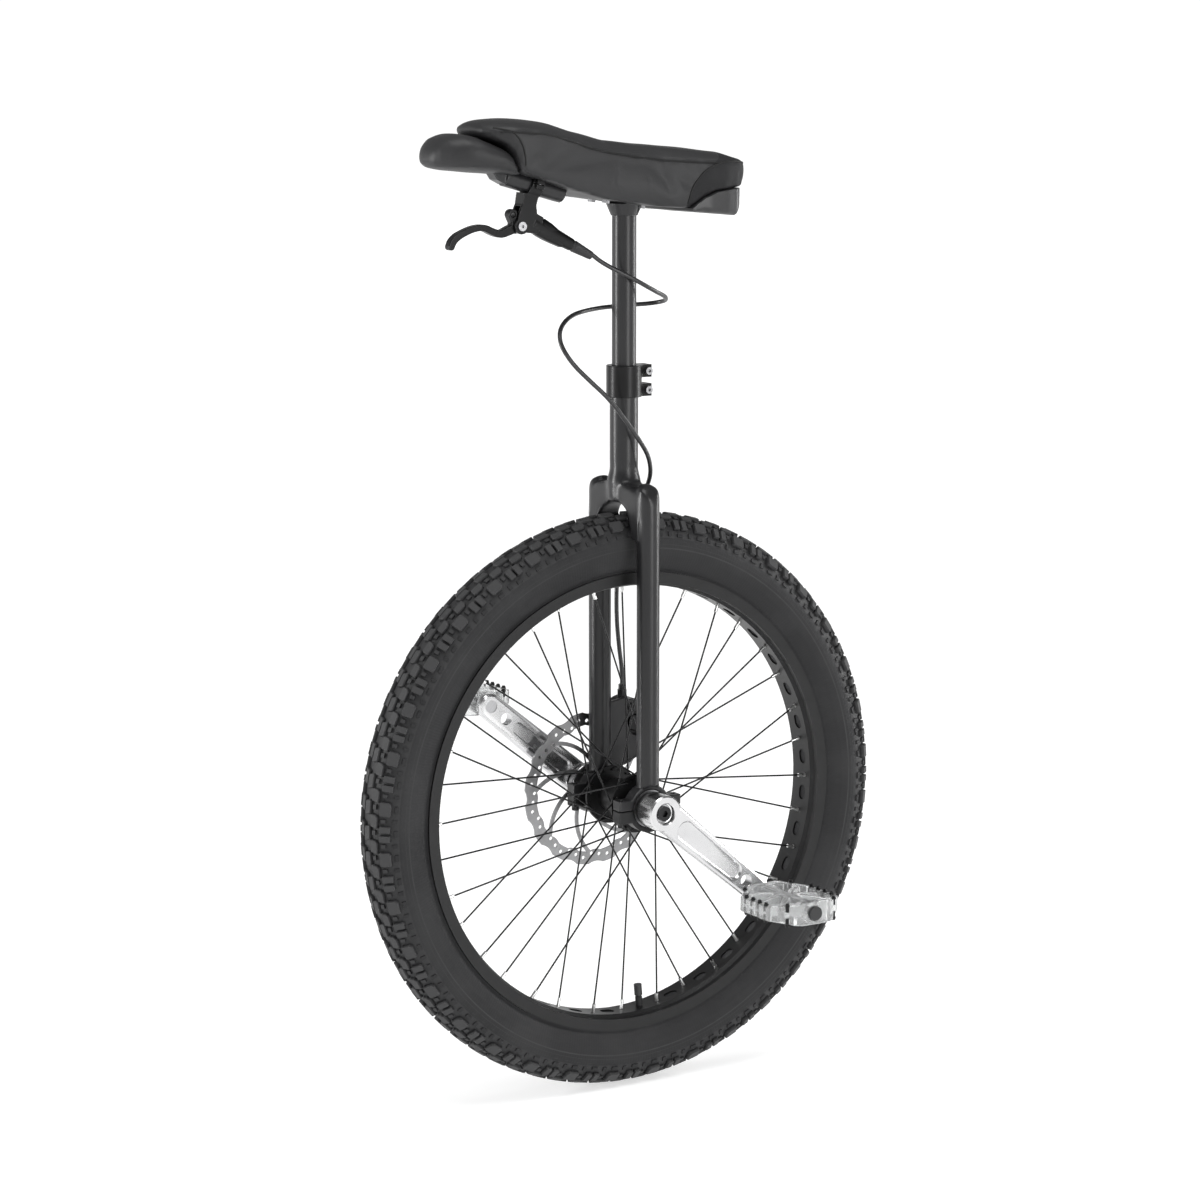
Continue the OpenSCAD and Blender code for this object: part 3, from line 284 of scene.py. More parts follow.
def lathe(profile, steps):
    """Points and faces of a closed (radius, y) outline turned about the axle."""
    points = [around(r, y, math.tau * k / steps) for k in range(steps) for r, y in profile]
    n = len(profile)
    faces = [
        (k * n + j, k * n + (j + 1) % n, (k + 1) % steps * n + (j + 1) % n, (k + 1) % steps * n + j)
        for k in range(steps)
        for j in range(n)
    ]
    return points, faces


def smooth_line(points, steps):
    """A smooth curve through points, as a list."""
    out = []
    last = len(points) - 1
    for i in range(last):
        p = [Vector(points[min(max(j, 0), last)]) for j in (i - 1, i, i + 1, i + 2)]
        for k in range(steps):
            f = k / steps
            out.append(
                0.5
                * (
                    2 * p[1]
                    + (p[2] - p[0]) * f
                    + (2 * p[0] - 5 * p[1] + 4 * p[2] - p[3]) * f * f
                    + (3 * p[1] - p[0] - 3 * p[2] + p[3]) * f**3
                )
            )
    return out + [Vector(points[-1])]


# The casing's outline, as (radius, y): up the sidewall from the bead, over the tread, whose
# floor lies a groove below the shoulders, and back inside
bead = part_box("rim")[1].y - 0.0029
bead_r = 0.2526
side = [
    (bead_r, bead),
    (bead_r + 0.009, bead),
    (bead_r + 0.0125, bead + 0.0006),
    (bead_r + 0.018, bead + 0.0036),
    (bead_r + 0.026, bead + 0.0064),
    (ring_r - 0.006, casing - 0.0006),
    (ring_r, casing),
]
side = [tuple(p)[:2] for p in smooth_line([(*p, 0) for p in side], 4)]
groove = 0.0021
crown = []
for lean in range(85, -1, -5):
    low = casing - groove * min(1.0, max(0.0, (75 - lean) / 20))
    crown.append((ring_r + low * math.cos(math.radians(lean)), low * math.sin(math.radians(lean))))
half = side + crown[:-1]
ridge = 0.0004
for k in (9, 17):
    r, y = half[k]
    half[k] = (r, y + ridge)
outer = half + [crown[-1]] + [(r, -y) for r, y in reversed(half)]
hollow = casing - 0.003
inner = [(bead_r, -bead + 0.005), (bead_r + 0.012, -bead + 0.004)]
for degrees in range(100, -101, -10):
    a = math.radians(degrees)
    inner.append((ring_r + hollow * math.cos(a), -hollow * math.sin(a)))
inner += [(bead_r + 0.012, bead - 0.004), (bead_r, bead - 0.005)]

rubber = Paint("tyre_compound", specular_ior_level=0.25)
dirt = rubber.noise(14.0, 4.0)
grain = rubber.noise(900.0, 2.0)
px, py, pz = rubber.parts(rubber.place())
turn = px.maths("ARCTAN2", pz - axle.z, px)
reach = ((px * px) + (pz - axle.z) * (pz - axle.z)) ** 0.5
girth = ((reach - ring_r) * (reach - ring_r) + py * py) ** 0.5
# Painted highlight: the tops of the tread blocks are painted a lighter grey than the rest of the rubber.
knob_top_highlight = girth.step(half_w - 0.0028, half_w - 0.0006) * reach.step(ring_r + 0.010, ring_r + 0.016)
wall_tone = rubber.mix(dirt.step(0.35, 0.7), (0.015, 0.015, 0.016), (0.024, 0.024, 0.025))
rubber.coat(
    base_color=rubber.mix(knob_top_highlight, wall_tone, (0.040, 0.040, 0.041)),
    roughness=0.50 + 0.14 * dirt + 0.06 * grain,
)
flank = 1 - reach.step(ring_r + 0.004, ring_r + 0.012)
ribs = (turn * 540.0).sin() * flank * 0.35 + (reach * 5200.0).sin() * flank * 0.4
rubber.bump(grain * 0.25 + ribs, 0.35, 0.0003)

points, faces = lathe(outer + inner, 360)
tyre = piece("tyre_casing", points, faces, rubber, "wheel", sharp=60)
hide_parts("tyre")

# Blocks: each widens into the casing at its root, and has a small bevel round its top
knob_points = []
knob_faces = []
knob_root = casing - 0.0030
knob_bevel = 0.0006
across_r = 0.034
along_r = 0.32


def knob(turn0, lean0, outline, high):
    """A block on the casing: its outline is in millimetres round the tyre and across it."""
    start = len(knob_points)
    n = len(outline)
    for r, grow in ((knob_root, 1.16), (high - knob_bevel, 0.97), (high, 0.9)):
        for u, v in outline:
            lean = lean0 + grow * v / 1000 / across_r
            angle = turn0 + grow * u / 1000 / along_r
            knob_points.append(around(ring_r + r * math.cos(lean), r * math.sin(lean), angle))
    for ring in (0, 1):
        for j in range(n):
            a = start + ring * n
            knob_faces.append((a + j, a + (j + 1) % n, a + n + (j + 1) % n, a + n + j))
    knob_faces.append(tuple(start + 2 * n + j for j in range(n)))
    knob_faces.append(tuple(start + j for j in reversed(range(n))))


def block(length, width, skew=0.0, cut=0.0):
    """A four-sided outline with its corners cut, slanted by skew."""
    a, b = length / 2, width / 2
    c = min(a, b) * 0.16
    shape = [(a - c, -b), (a, -b + c), (a, b - c - cut), (a - c - cut, b)]
    shape += [(-a + c, b), (-a, b - c), (-a, -b + c), (-a + c, -b)]
    return [(u + skew * v, v) for u, v in shape]


def tread(odd):
    """One repeat of one side's rows: each block's shift along, lean in degrees, outline and top."""
    split = [(shift, 47, block(7.2, 12.0), half_w + 0.0011) for shift in (-0.07, 0.29)]
    whole = [(0.10, 47, block(15.5, 12.5, 0.0, 1.6), half_w + 0.0013)]
    return [
        (0.10, 8, block(15.5, 8.2, 0.22, 1.2 * odd), half_w),
        (0.60, 25, block(14.0, 8.4, -0.14, 1.6), half_w + 0.0003),
        (0.14, 23, block(5.4, 5.0, 0.1), half_w - 0.0016),
        *(whole if odd else split),
        (0.62, 43, block(4.4, 6.0), half_w - 0.0016),
        (0.10, 68, block(8.0, 4.6), casing + 0.0014),
        (0.60, 66, block(4.6, 6.4), casing + 0.0012),
    ]


repeats = 72
pitch = math.tau / repeats
stagger = 0.12
for k in range(repeats):
    for s in (-1, 1):
        for shift, lean, outline, high in tread(k % 2):
            shape = [(u, s * v) for u, v in outline][::s]
            place = (k + shift + (stagger if s < 0 else 0.0)) * pitch
            knob(place, s * math.radians(lean), shape, high)

blocks = piece("tyre_blocks", knob_points, knob_faces, rubber, "wheel", sharp=25)
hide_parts("tyre")


# ---- Rim, rim strip, inner tube and valve ----
# A wide extruded aluminium rim, anodised satin black, with an oval window between each two
# nipples; a cloth-backed strip closes the windows, and a rubber valve stem comes through it.
def anodised(name, tone, rough, metal=0.6):
    """Black anodised aluminium: an even satin skin with fine grain and faint drawing marks."""
    paint = Paint(name, metallic=metal, specular_ior_level=0.35)
    cloud = paint.noise(40.0, 3.0)
    grain = paint.noise(1600.0, 2.0)
    paint.coat(
        base_color=paint.mix(cloud, (tone * 0.8,) * 3, (tone * 1.25, tone * 1.25, tone * 1.3)),
        roughness=rough - 0.05 + 0.08 * cloud + 0.05 * grain,
    )
    return paint.bump(grain, 0.12, 0.0001)


def carry(paint, slot, *nodes):
    """Gives CAD nodes a paint. The slot argument is not used."""
    for node in nodes:
        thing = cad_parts[node]
        thing.data.materials.clear()
        thing.data.materials.append(paint.material)
        for polygon in thing.data.polygons:
            polygon.material_index = 0


rim_black = anodised("anodised_rim", 0.016, 0.36, 0.4)
carry(rim_black, "black_alloy", "rim")

strip_cloth = Paint("woven_strip", roughness=0.8)
sx, sy, sz = strip_cloth.parts(strip_cloth.place())
weave = (sy * 6000.0).sin() * (sx.maths("ARCTAN2", sz - axle.z, sx) * 1600.0).sin()
thread = weave * 0.5 + 0.5
strip_cloth.coat(base_color=strip_cloth.mix(thread, (0.012, 0.012, 0.013), (0.05, 0.05, 0.052)))
strip_cloth.bump(weave, 0.4, 0.0002)
carry(strip_cloth, "rubber", "rim_strip")

soft_rubber = Paint("moulded_rubber", specular_ior_level=0.4)
pores = soft_rubber.noise(1200.0, 3.0)
soft_rubber.coat(
    base_color=soft_rubber.mix(soft_rubber.noise(60.0), (0.012, 0.012, 0.013), (0.024, 0.024, 0.025)),
    roughness=0.5 + 0.2 * pores,
)
soft_rubber.bump(pores, 0.25, 0.00015)
carry(soft_rubber, "rubber", "inner_tube", "valve_stem", "bearing_seals")

hard_plastic = Paint("moulded_black_plastic", specular_ior_level=0.5)
speck = hard_plastic.noise(1500.0, 2.0)
hard_plastic.coat(
    base_color=hard_plastic.mix(hard_plastic.noise(50.0), (0.010, 0.010, 0.011), (0.02, 0.02, 0.021)),
    roughness=0.32 + 0.14 * speck,
)
hard_plastic.bump(speck, 0.2, 0.0001)
carry(hard_plastic, "black_plastic", "valve_cap")

# ---- Spokes, nipples and hub ----
# Thirty-six black stainless spokes, laced three-cross from a machined black hub shell to
# nickel-plated brass nipples in the rim.
spoke_black = anodised("black_spoke_wire", 0.022, 0.3, 0.8)
carry(spoke_black, "black_steel", "spokes")

plate = Paint("nickel_plate", metallic=1.0)
smear = plate.noise(300.0, 3.0)
plate.coat(
    base_color=plate.mix(smear, (0.60, 0.60, 0.60), (0.78, 0.78, 0.77)),
    roughness=0.2 + 0.2 * smear,
)
carry(plate, "nickel", "spoke_nipples")

hub_black = anodised("anodised_hub", 0.02, 0.3)
carry(hub_black, "black_alloy", "hub_shell", "axle_spacers")

turned = Paint("turned_steel", metallic=1.0)
tx, ty, tz = turned.parts(turned.place())
from_axle = ((tx * tx) + (tz - axle.z) * (tz - axle.z)) ** 0.5
across = turned.node("CombineXYZ", {}, {0: from_axle * 2600.0, 1: ty * 900.0, 2: 0.0})
rings = turned.noise(1.0, 3.0, across)
turned.coat(
    base_color=turned.mix(rings, (0.32, 0.32, 0.33), (0.55, 0.55, 0.56)),
    roughness=0.24 + 0.2 * rings,
)
turned.bump(rings, 0.12, 0.0001)
carry(turned, "steel", "axle_spindle", "inner_races", "outer_races", "bearing_balls")
carry(turned, "steel", "pedal_spindles", "pivot_pin", "master_piston")

# ---- Frame ----
# Chromoly tubes welded to a bent crown and to the upper halves of the bearing housings, with
# the brake's bracket on the right leg, all under one satin black powder coat.
powder = Paint("satin_powder_coat", specular_ior_level=0.35)
peel = powder.noise(520.0, 1.5)
mist = powder.noise(9.0, 3.0)
powder.coat(
    base_color=powder.mix(mist, (0.011, 0.011, 0.012), (0.017, 0.017, 0.018)),
    roughness=0.25 + 0.06 * mist + 0.05 * peel,
)
powder.bump(peel, 0.10, 0.0003)


def cast(name, nodes, paint, body, grain=0.0006, melt=4, blend=None):
    """One solid from CAD nodes, with every edge rounded a little as on a painted or moulded piece.
    blend is (low, high, bore, passes): between those heights its inner corners are filled
    further, but a bore about the Z axis stays round and open."""
    mesh = bpy.data.meshes.new(name)
    joined = bmesh.new()
    for node in nodes:
        joined.from_mesh(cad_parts[node].data)
    joined.to_mesh(mesh)
    joined.free()
    made = bpy.data.objects.new(name, mesh)
    bpy.context.scene.collection.objects.link(made)
    remesh = made.modifiers.new("remesh", "REMESH")
    remesh.mode = "VOXEL"
    remesh.voxel_size = grain
    finish_modifiers(made)
    if blend:
        group = made.vertex_groups.new(name="blend")
        low, high, bore, passes = blend
        fade = 0.012
        for vertex in made.data.vertices:
            depth = min((vertex.co.z - low), (high - vertex.co.z)) / fade
            if depth > 0 and math.hypot(vertex.co.x, vertex.co.y) > bore:
                group.add([vertex.index], min(1.0, depth), "REPLACE")
        fill = made.modifiers.new("fill", "SMOOTH")
        fill.factor = 0.5
        fill.iterations = passes
        fill.vertex_group = "blend"
    ease = made.modifiers.new("ease", "SMOOTH")
    ease.factor = 0.5
    ease.iterations = melt
    finish_modifiers(made)
    made.vertex_groups.clear()
    if blend:
        bore_wall = bore - 0.0009
        for vertex in made.data.vertices:
            from_bore = math.hypot(vertex.co.x, vertex.co.y)
            if from_bore < bore:
                vertex.co.xy *= bore_wall / from_bore
    tidy(made, paint, 80)
    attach(made, body)
    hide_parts(*nodes)
    return made


def finish_modifiers(made):
    """Makes what the modifiers show the object's own mesh."""
    bpy.context.view_layer.update()
    shown = made.evaluated_get(bpy.context.evaluated_depsgraph_get())
    mesh = bpy.data.meshes.new_from_object(shown)
    made.modifiers.clear()
    made.data = mesh


crown_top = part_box("crown")[1].z
welded = ["seat_tube", "crown", "left_leg", "right_leg", "bearing_housings", "caliper_bracket"]
crown_weld = (crown_top - 0.040, crown_top + 0.026, 0.0148, 150)
cast("frame_weldment", welded, powder, "frame", 0.001, 4, crown_weld)

# ---- Bearing caps and their bolts ----
# The lower half of each bearing housing is a machined block held up by two socket screws.
cap_black = anodised("anodised_cap", 0.022, 0.34)
cast("bearing_cap_pair", ["bearing_caps"], cap_black, "frame", 0.0006, 4)
bolt_black = anodised("blackened_bolt", 0.03, 0.3, 0.85)
carry(bolt_black, "black_steel", "bearing_cap_bolts", "crank_bolts", "rotor_bolts")
carry(bolt_black, "black_steel", "caliper_bolts", "hose_fitting")

# ---- Seat clamp and seatpost ----
# A machined two-bolt collar squeezes the split neck on a steel post, which is painted black.
collar_black = anodised("anodised_collar", 0.012, 0.3)
cast("seat_collar", ["seat_clamp"], collar_black, "frame", 0.0005, 4)
steel_bolt = Paint("zinc_plated_bolt", metallic=1.0)
zinc = steel_bolt.noise(400.0, 3.0)
steel_bolt.coat(
    base_color=steel_bolt.mix(zinc, (0.25, 0.25, 0.26), (0.45, 0.45, 0.46)),
    roughness=0.28 + 0.2 * zinc,
)
carry(steel_bolt, "steel", "seat_clamp_bolts", "saddle_bolts", "lever_clamp_bolts")

post_black = Paint("post_paint", specular_ior_level=0.35)
haze = post_black.noise(30.0, 3.0)
post_black.coat(
    base_color=post_black.mix(haze, (0.011, 0.011, 0.012), (0.018, 0.018, 0.019)),
    roughness=0.27 + 0.08 * haze,
)
post_black.bump(post_black.noise(700.0, 1.5), 0.06, 0.0002)
carry(post_black, "black_steel", "seatpost")
cast("saddle_bracket", ["post_plate"], post_black, "seat", 0.0006, 5)

# ---- Disc ----
# A stamped and ground stainless disc with a wavy edge, drilled in threes, on the right crank.
disc_steel = Paint("ground_steel", metallic=1.0)
dx, dy, dz = disc_steel.parts(disc_steel.place())
from_hub = ((dx * dx) + (dz - axle.z) * (dz - axle.z)) ** 0.5
ground = disc_steel.node("CombineXYZ", {}, {0: from_hub * 3000.0, 1: dy * 10.0})
scratch = disc_steel.noise(1.0, 4.0, ground)
swept = from_hub.step(0.074, 0.076) * (1 - from_hub.step(0.0885, 0.09))
disc_steel.coat(
    base_color=disc_steel.mix(scratch, (0.24, 0.24, 0.25), (0.40, 0.40, 0.40)),
    roughness=0.34 - 0.08 * swept + 0.12 * scratch,
)
disc_steel.bump(scratch, 0.2, 0.0001)
carry(disc_steel, "steel", "brake_rotor")

# ---- Caliper ----
# A two-piece black caliper body on the right leg, with ceramic pistons and sintered pads.
caliper_black = anodised("anodised_caliper", 0.012, 0.28)
cast("brake_caliper", ["caliper_body"], caliper_black, "frame", 0.0005, 6)
lining = Paint("pad_compound", roughness=0.85)
flakes = lining.noise(900.0, 3.0).step(0.4, 0.6)
lining.coat(base_color=lining.mix(flakes, (0.09, 0.08, 0.07), (0.2, 0.17, 0.14)))
carry(lining, "pad_lining", "inner_brake_pad", "outer_brake_pad")
white = Paint("piston_ceramic", specular_ior_level=0.6)
ivory = white.mix(white.noise(80.0), (0.62, 0.6, 0.55), (0.72, 0.7, 0.65))
white.coat(base_color=ivory, roughness=0.3)
carry(white, "ceramic", "inner_piston", "outer_piston")

# ---- Brake lever ----
# A short bar under the saddle carries a forged lever body, split clamp, pivot screw, master
# cylinder with a rubber boot, and a hooked alloy blade.
lever_black = anodised("anodised_lever", 0.014, 0.3)
cast("lever_housing", ["lever_body"], lever_black, "seat", 0.0005, 6)
cast("lever_clamp_cap", ["lever_clamp"], lever_black, "seat", 0.0004, 5)
cast("brake_blade", ["lever_blade"], lever_black, "brake_lever", 0.0005, 14)
cast("lever_bar", ["brake_bar"], post_black, "seat", 0.0006, 4)

# The reservoir swells out of the body along its cylinder: (distance, half height, lift) in millimetres
bulge_front = Vector((0.126, 0.014, 0.977))
bulge_way = Vector((-0.8957, 0, -0.4446))
bulge_up = Vector((-0.4446, 0, 0.8957))
bulge_sizes = [(0, 5.5, 0), (1.2, 7.6, 0.6), (4, 9.4, 1.4), (12, 10.6, 1.8), (22, 10.2, 1.3)]
bulge_sizes += [(32, 8.8, 0.6), (42, 7.4, 0), (45, 6.2, 0)]
bulge = []
for far, tall, lift in bulge_sizes:
    ring = []
    for k in range(32):
        c, s = math.cos(math.tau * k / 32), math.sin(math.tau * k / 32)
        wide = 0.84 * tall * math.copysign(abs(c) ** 0.75, c)
        high = lift + tall * math.copysign(abs(s) ** 0.8, s)
        spot = bulge_front + bulge_way * far / 1000
        ring.append(spot + (Vector((0, wide, 0)) + bulge_up * high) / 1000)
    bulge.append(ring)
reservoir = piece("lever_reservoir", *stack(bulge), lever_black, "seat", 50)
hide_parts("lever_body")
cast("cylinder_boot", ["hose_boot"], soft_rubber, "seat", 0.0004, 4)

# ---- Brake hose ----
# A stiff 5 mm hydraulic hose: out of the lever's boot, once round the seatpost, down behind the
# frame and into the top of the caliper.
hose_route = [(49, 14, 942), (40, 16, 935), (28, 18, 928), (14, 21, 921), (0, 23, 914), (-16, 22, 906),
              (-32, 17, 899), (-48, 8, 893), (-56, -4, 888), (-54, -16, 885), (-44, -26, 883), (-28, -33, 882),
              (-10, -35, 881), (10, -34, 880), (34, -27, 878), (54, -18, 875), (72, -6, 869), (84, 4, 860),
              (88, 12, 848), (84, 18, 835), (74, 22, 821), (58, 26, 805), (42, 29, 790), (28, 30, 775),
              (14, 30, 758), (-2, 29, 738), (-16, 24, 720), (-26, 14, 702), (-32, 0, 686), (-36, -18, 672),
              (-38, -36, 658), (-36, -50, 640), (-33, -57, 618), (-30, -60, 590), (-28, -61, 555),
              (-29, -62, 521), (-32, -62, 490), (-35, -62, 468), (-36, -62, 452), (-36, -62, 436)]
hose_line = smooth_line([Vector(p) / 1000 for p in hose_route], 6)


def tube(name, line, radius, paint, body, sides=16):
    """A round tube along a line of points, closed at both ends."""
    rings = []
    side = Vector((0, 1, 0))
    for k, p in enumerate(line):
        way = (line[min(k + 1, len(line) - 1)] - line[max(k - 1, 0)]).normalized()
        side = (side - way * side.dot(way)).normalized()
        up = way.cross(side)
        turns = [math.tau * j / sides for j in range(sides)]
        rings.append([p + radius * (math.cos(a) * side + math.sin(a) * up) for a in turns])
    return piece(name, *stack(rings), paint, body)


hose_black = Paint("hose_jacket", specular_ior_level=0.5)
jacket = hose_black.noise(220.0, 3.0)
hose_black.coat(
    base_color=hose_black.mix(jacket, (0.010, 0.010, 0.011), (0.018, 0.018, 0.019)),
    roughness=0.28 + 0.14 * jacket,
)
hose_black.bump(hose_black.noise(1400.0), 0.08, 0.0001)
hose = tube("hydraulic_hose", hose_line, 0.0025, hose_black, None)
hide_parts("brake_hose")
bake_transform(hose)

# ---- Cranks ----
# Forged and polished aluminium arms: a round boss on the axle, chamfered edges, a long shallow
# pocket, and two threaded pedal holes near the end. The left arm's pocket faces out.
polish = Paint("polished_alloy", metallic=1.0)
cloudy = polish.noise(26.0, 3.0)
lengthwise = {0: polish.place(), 1: (260.0, 2600.0, 900.0)}
fine = polish.noise(1.0, 4.0, polish.node("VectorMath", {"operation": "MULTIPLY"}, lengthwise))
polish.coat(
    base_color=polish.mix(cloudy, (0.50, 0.50, 0.51), (0.72, 0.72, 0.72)),
    roughness=0.12 + 0.12 * cloudy + 0.06 * fine,
)
polish.bump(fine, 0.05, 0.0001)

crank_len = 0.165
pedal_step = 0.025
slope = math.radians(39.8)
crank_face = 0.090
arm_back = 0.0775
boss = 0.0205
tip = 0.0145


def link_ring(r0, r1, d0, d1, depth, steps=20):
    """A loop round two ends of radius r0 and r1, at distances d0 and d1 along the arm."""
    lean = math.asin((r0 - r1) / (d1 - d0))
    ring = []
    for k in range(steps + 1):
        a = math.pi / 2 - lean + (math.pi + 2 * lean) * k / steps
        ring.append(Vector((d0 + r0 * math.cos(a), depth, r0 * math.sin(a))))
    for k in range(steps + 1):
        a = -math.pi / 2 - lean + (math.pi - 2 * lean) * k / steps + 2 * lean
        ring.append(Vector((d1 + r1 * math.cos(a), depth, r1 * math.sin(a))))
    return ring


def spun(centre, profile, steps=64):
    """A closed solid from (radius, depth) pairs turned about a line along Y through centre."""
    turns = [math.tau * k / steps for k in range(steps)]
    return stack([
        [Vector((centre + r * math.cos(a), depth, r * math.sin(a))) for a in turns]
        for r, depth in profile
    ])


def combine(made, operation, solids):
    """Joins each (points, faces) solid to a piece, or cuts it out."""
    for points, faces in solids:
        tool = piece("tool", points, faces, polish, None)
        step = made.modifiers.new("step", "BOOLEAN")
        step.operation = operation
        step.solver = "EXACT"
        step.object = tool
        finish_modifiers(made)
        bpy.data.objects.remove(tool)


def pedal_hole(d):
    """A countersunk hole for a pedal's axle, at a distance along the arm."""
    r = 0.00715
    return spun(d, [(r, 0.05), (r, crank_face - 0.0008), (r + 0.0022, crank_face + 0.0014)])


def round_arm(name, right):
    """A crank along +X at the axle, facing +Y, before it is turned to its place."""
    levels = [
        (0.0030, arm_back),
        (0.0012, arm_back + 0.0008),
        (0.0, arm_back + 0.0030),
        (0.0, crank_face - 0.0036),
        (0.0008, crank_face - 0.0016),
        (0.0032, crank_face),
    ]
    rings = []
    for inset, depth in levels:
        rings.append(link_ring(boss - 0.002 - inset, tip - inset, 0, crank_len, depth))
    made = piece(name, *stack(rings), polish, None)
    root = 0.0685 if right else 0.062
    boss_line = [
        (boss - 0.0015, root),
        (boss, root + 0.0012),
        (boss, crank_face - 0.0016),
        (boss - 0.0016, crank_face + 0.0001),
        (0.0135, crank_face + 0.0001),
    ]
    ends = [spun(0, boss_line)]
    if right:
        disc_seat = [(0.0285, 0.0685), (0.0290, 0.0690), (0.0290, 0.0745), (0.0280, 0.0755)]
        ends.append(spun(0, disc_seat))
    combine(made, "UNION", ends)
    pocket = [
        link_ring(0.0088, 0.0066, 0.036, 0.119, crank_face - 0.0024),
        link_ring(0.0104, 0.0080, 0.036, 0.119, crank_face - 0.0022),
        link_ring(0.0116, 0.0091, 0.036, 0.119, crank_face - 0.0006),
        link_ring(0.0138, 0.0112, 0.036, 0.119, crank_face + 0.0014),
    ]
    bolt_well = [
        (0.0102, 0.05),
        (0.0102, crank_face - 0.0065),
        (0.0117, crank_face - 0.0060),
        (0.0117, crank_face - 0.0008),
        (0.0140, crank_face + 0.0014),
    ]
    cuts = [stack(pocket), pedal_hole(crank_len), pedal_hole(crank_len - pedal_step)]
    cuts.append(spun(0, bolt_well))
    if right:
        back = [
            link_ring(0.0096, 0.0074, 0.040, 0.120, arm_back - 0.001),
            link_ring(0.0090, 0.0068, 0.040, 0.120, arm_back + 0.0035),
            link_ring(0.0070, 0.0052, 0.040, 0.120, arm_back + 0.0050),
        ]
        cuts.append(stack(back))
    combine(made, "DIFFERENCE", cuts)
    return made


def turn_crank(made, right):
    """Turns an arm to its angle about the axle; the right arm is mirrored, half a turn on."""
    angle = slope if right else math.pi + slope
    flip = -1 if right else 1
    for vertex in made.data.vertices:
        x, y, z = vertex.co
        vertex.co = (x * math.cos(angle) - z * math.sin(angle), flip * y,
                     axle.z + x * math.sin(angle) + z * math.cos(angle))
    tidy(made, polish, 24)
    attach(made, "wheel")
    return made


for right in (False, True):
    hand = "right" if right else "left"
    arm = turn_crank(round_arm(hand + "_crank_arm", right), right)
    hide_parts(hand + "_crank")

# ---- Pedals ----
# A one-piece platform moulded in clear polycarbonate, its rails and webs round a steel axle,
# with screwed-in black pins on both faces and a black cap over the end of the axle.
clear = Paint("clear_polycarbonate", transmission_weight=0.82, ior=1.5)
clear.coat(base_color=(0.93, 0.94, 0.94), roughness=0.1 + 0.16 * clear.noise(70.0, 3.0))
clear.bump(clear.noise(260.0, 2.0), 0.2, 0.0004)
pin_black = anodised("pedal_pin_black", 0.02, 0.3, 0.8)
for body in ("left_pedal", "right_pedal"):
    cast(body + "_platform", [body + "_body"], clear, body, 0.0009, 3)
    carry(pin_black, "black_steel", body + "_pins")
    carry(hard_plastic, "black_plastic", body + "_cap")

# ---- Saddle ----
# A long moulded foam pad on a plastic base, under a vinyl cover sewn from a top panel, smooth
# sides, a front panel and a rough tail panel, with a dark welt in each seam.
seat_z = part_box("saddle_pad")[0].z + 0.015
vinyl = Paint("smooth_vinyl", specular_ior_level=0.32)
vx, _, vz = vinyl.parts(vinyl.place())
sweep = vinyl.noise(12.0, 3.0)
pebble = vinyl.node("TexVoronoi", {"feature": "SMOOTH_F1"}, {"Vector": vinyl.place(), "Scale": 900.0})
drop = (vz - (seat_z - 0.007)).most(0.0)
tail = 1 - (vx + drop * drop * 14.5).step(-0.0434, -0.0426)
side_tone = vinyl.mix(sweep, (0.015, 0.015, 0.016), (0.024, 0.024, 0.025))
vinyl.coat(
    base_color=vinyl.mix(tail, side_tone, (0.009, 0.009, 0.010)),
    roughness=0.40 + 0.1 * sweep + 0.08 * pebble + 0.2 * tail,
)
vinyl.bump(pebble * (1 + tail * 1.6), 0.22, 0.00025)


def between(table, x):
    """Reads a value off a table of (x, value) pairs, smoothly between them."""
    if x <= table[0][0]:
        return table[0][1]
    for (x0, v0), (x1, v1) in zip(table, table[1:]):
        if x <= x1:
            f = (x - x0) / (x1 - x0)
            f = f * f * (3 - 2 * f) * 0.4 + f * 0.6
            return v0 + (v1 - v0) * f
    return table[-1][1]


# Heights above the base and half widths, in millimetres, along the saddle from its tail
pad_top = [(-123, 36), (-121, 40), (-117, 43.5), (-110, 46), (-96, 48.5), (-51, 54), (-7, 57.5)]
pad_top += [(37, 62), (80, 72), (120, 83), (157, 88), (182, 87.5), (192, 85), (197, 80)]
pad_seam = [(-123, 34), (-112, 42), (-90, 42.5), (-66, 40), (-24, 43), (13, 48), (42, 52)]
pad_seam += [(68, 57), (93, 65), (132, 73), (166, 75), (186, 74), (197, 76)]
pad_base = [(-123, 24), (-121, 15), (-118, 11.5), (-104, 11), (-80, 8), (-64, 2), (-55, -4)]
pad_base += [(-49, -9), (-43, -10), (-13, -8), (17, -3), (49, 1), (85, 10), (118, 21), (145, 29)]
pad_base += [(154, 33), (159, 40), (162, 50), (166, 58), (176, 63.5), (189, 68), (197, 73)]
pad_wide = [(-123, 42), (-122, 51), (-119, 60), (-113, 67), (-104, 71), (-90, 73.5), (-70, 72.5)]
pad_wide += [(-40, 66), (0, 56.5), (40, 52), (90, 54.5), (130, 57), (165, 53.5), (182, 46)]
pad_wide += [(192, 36), (197, 22)]


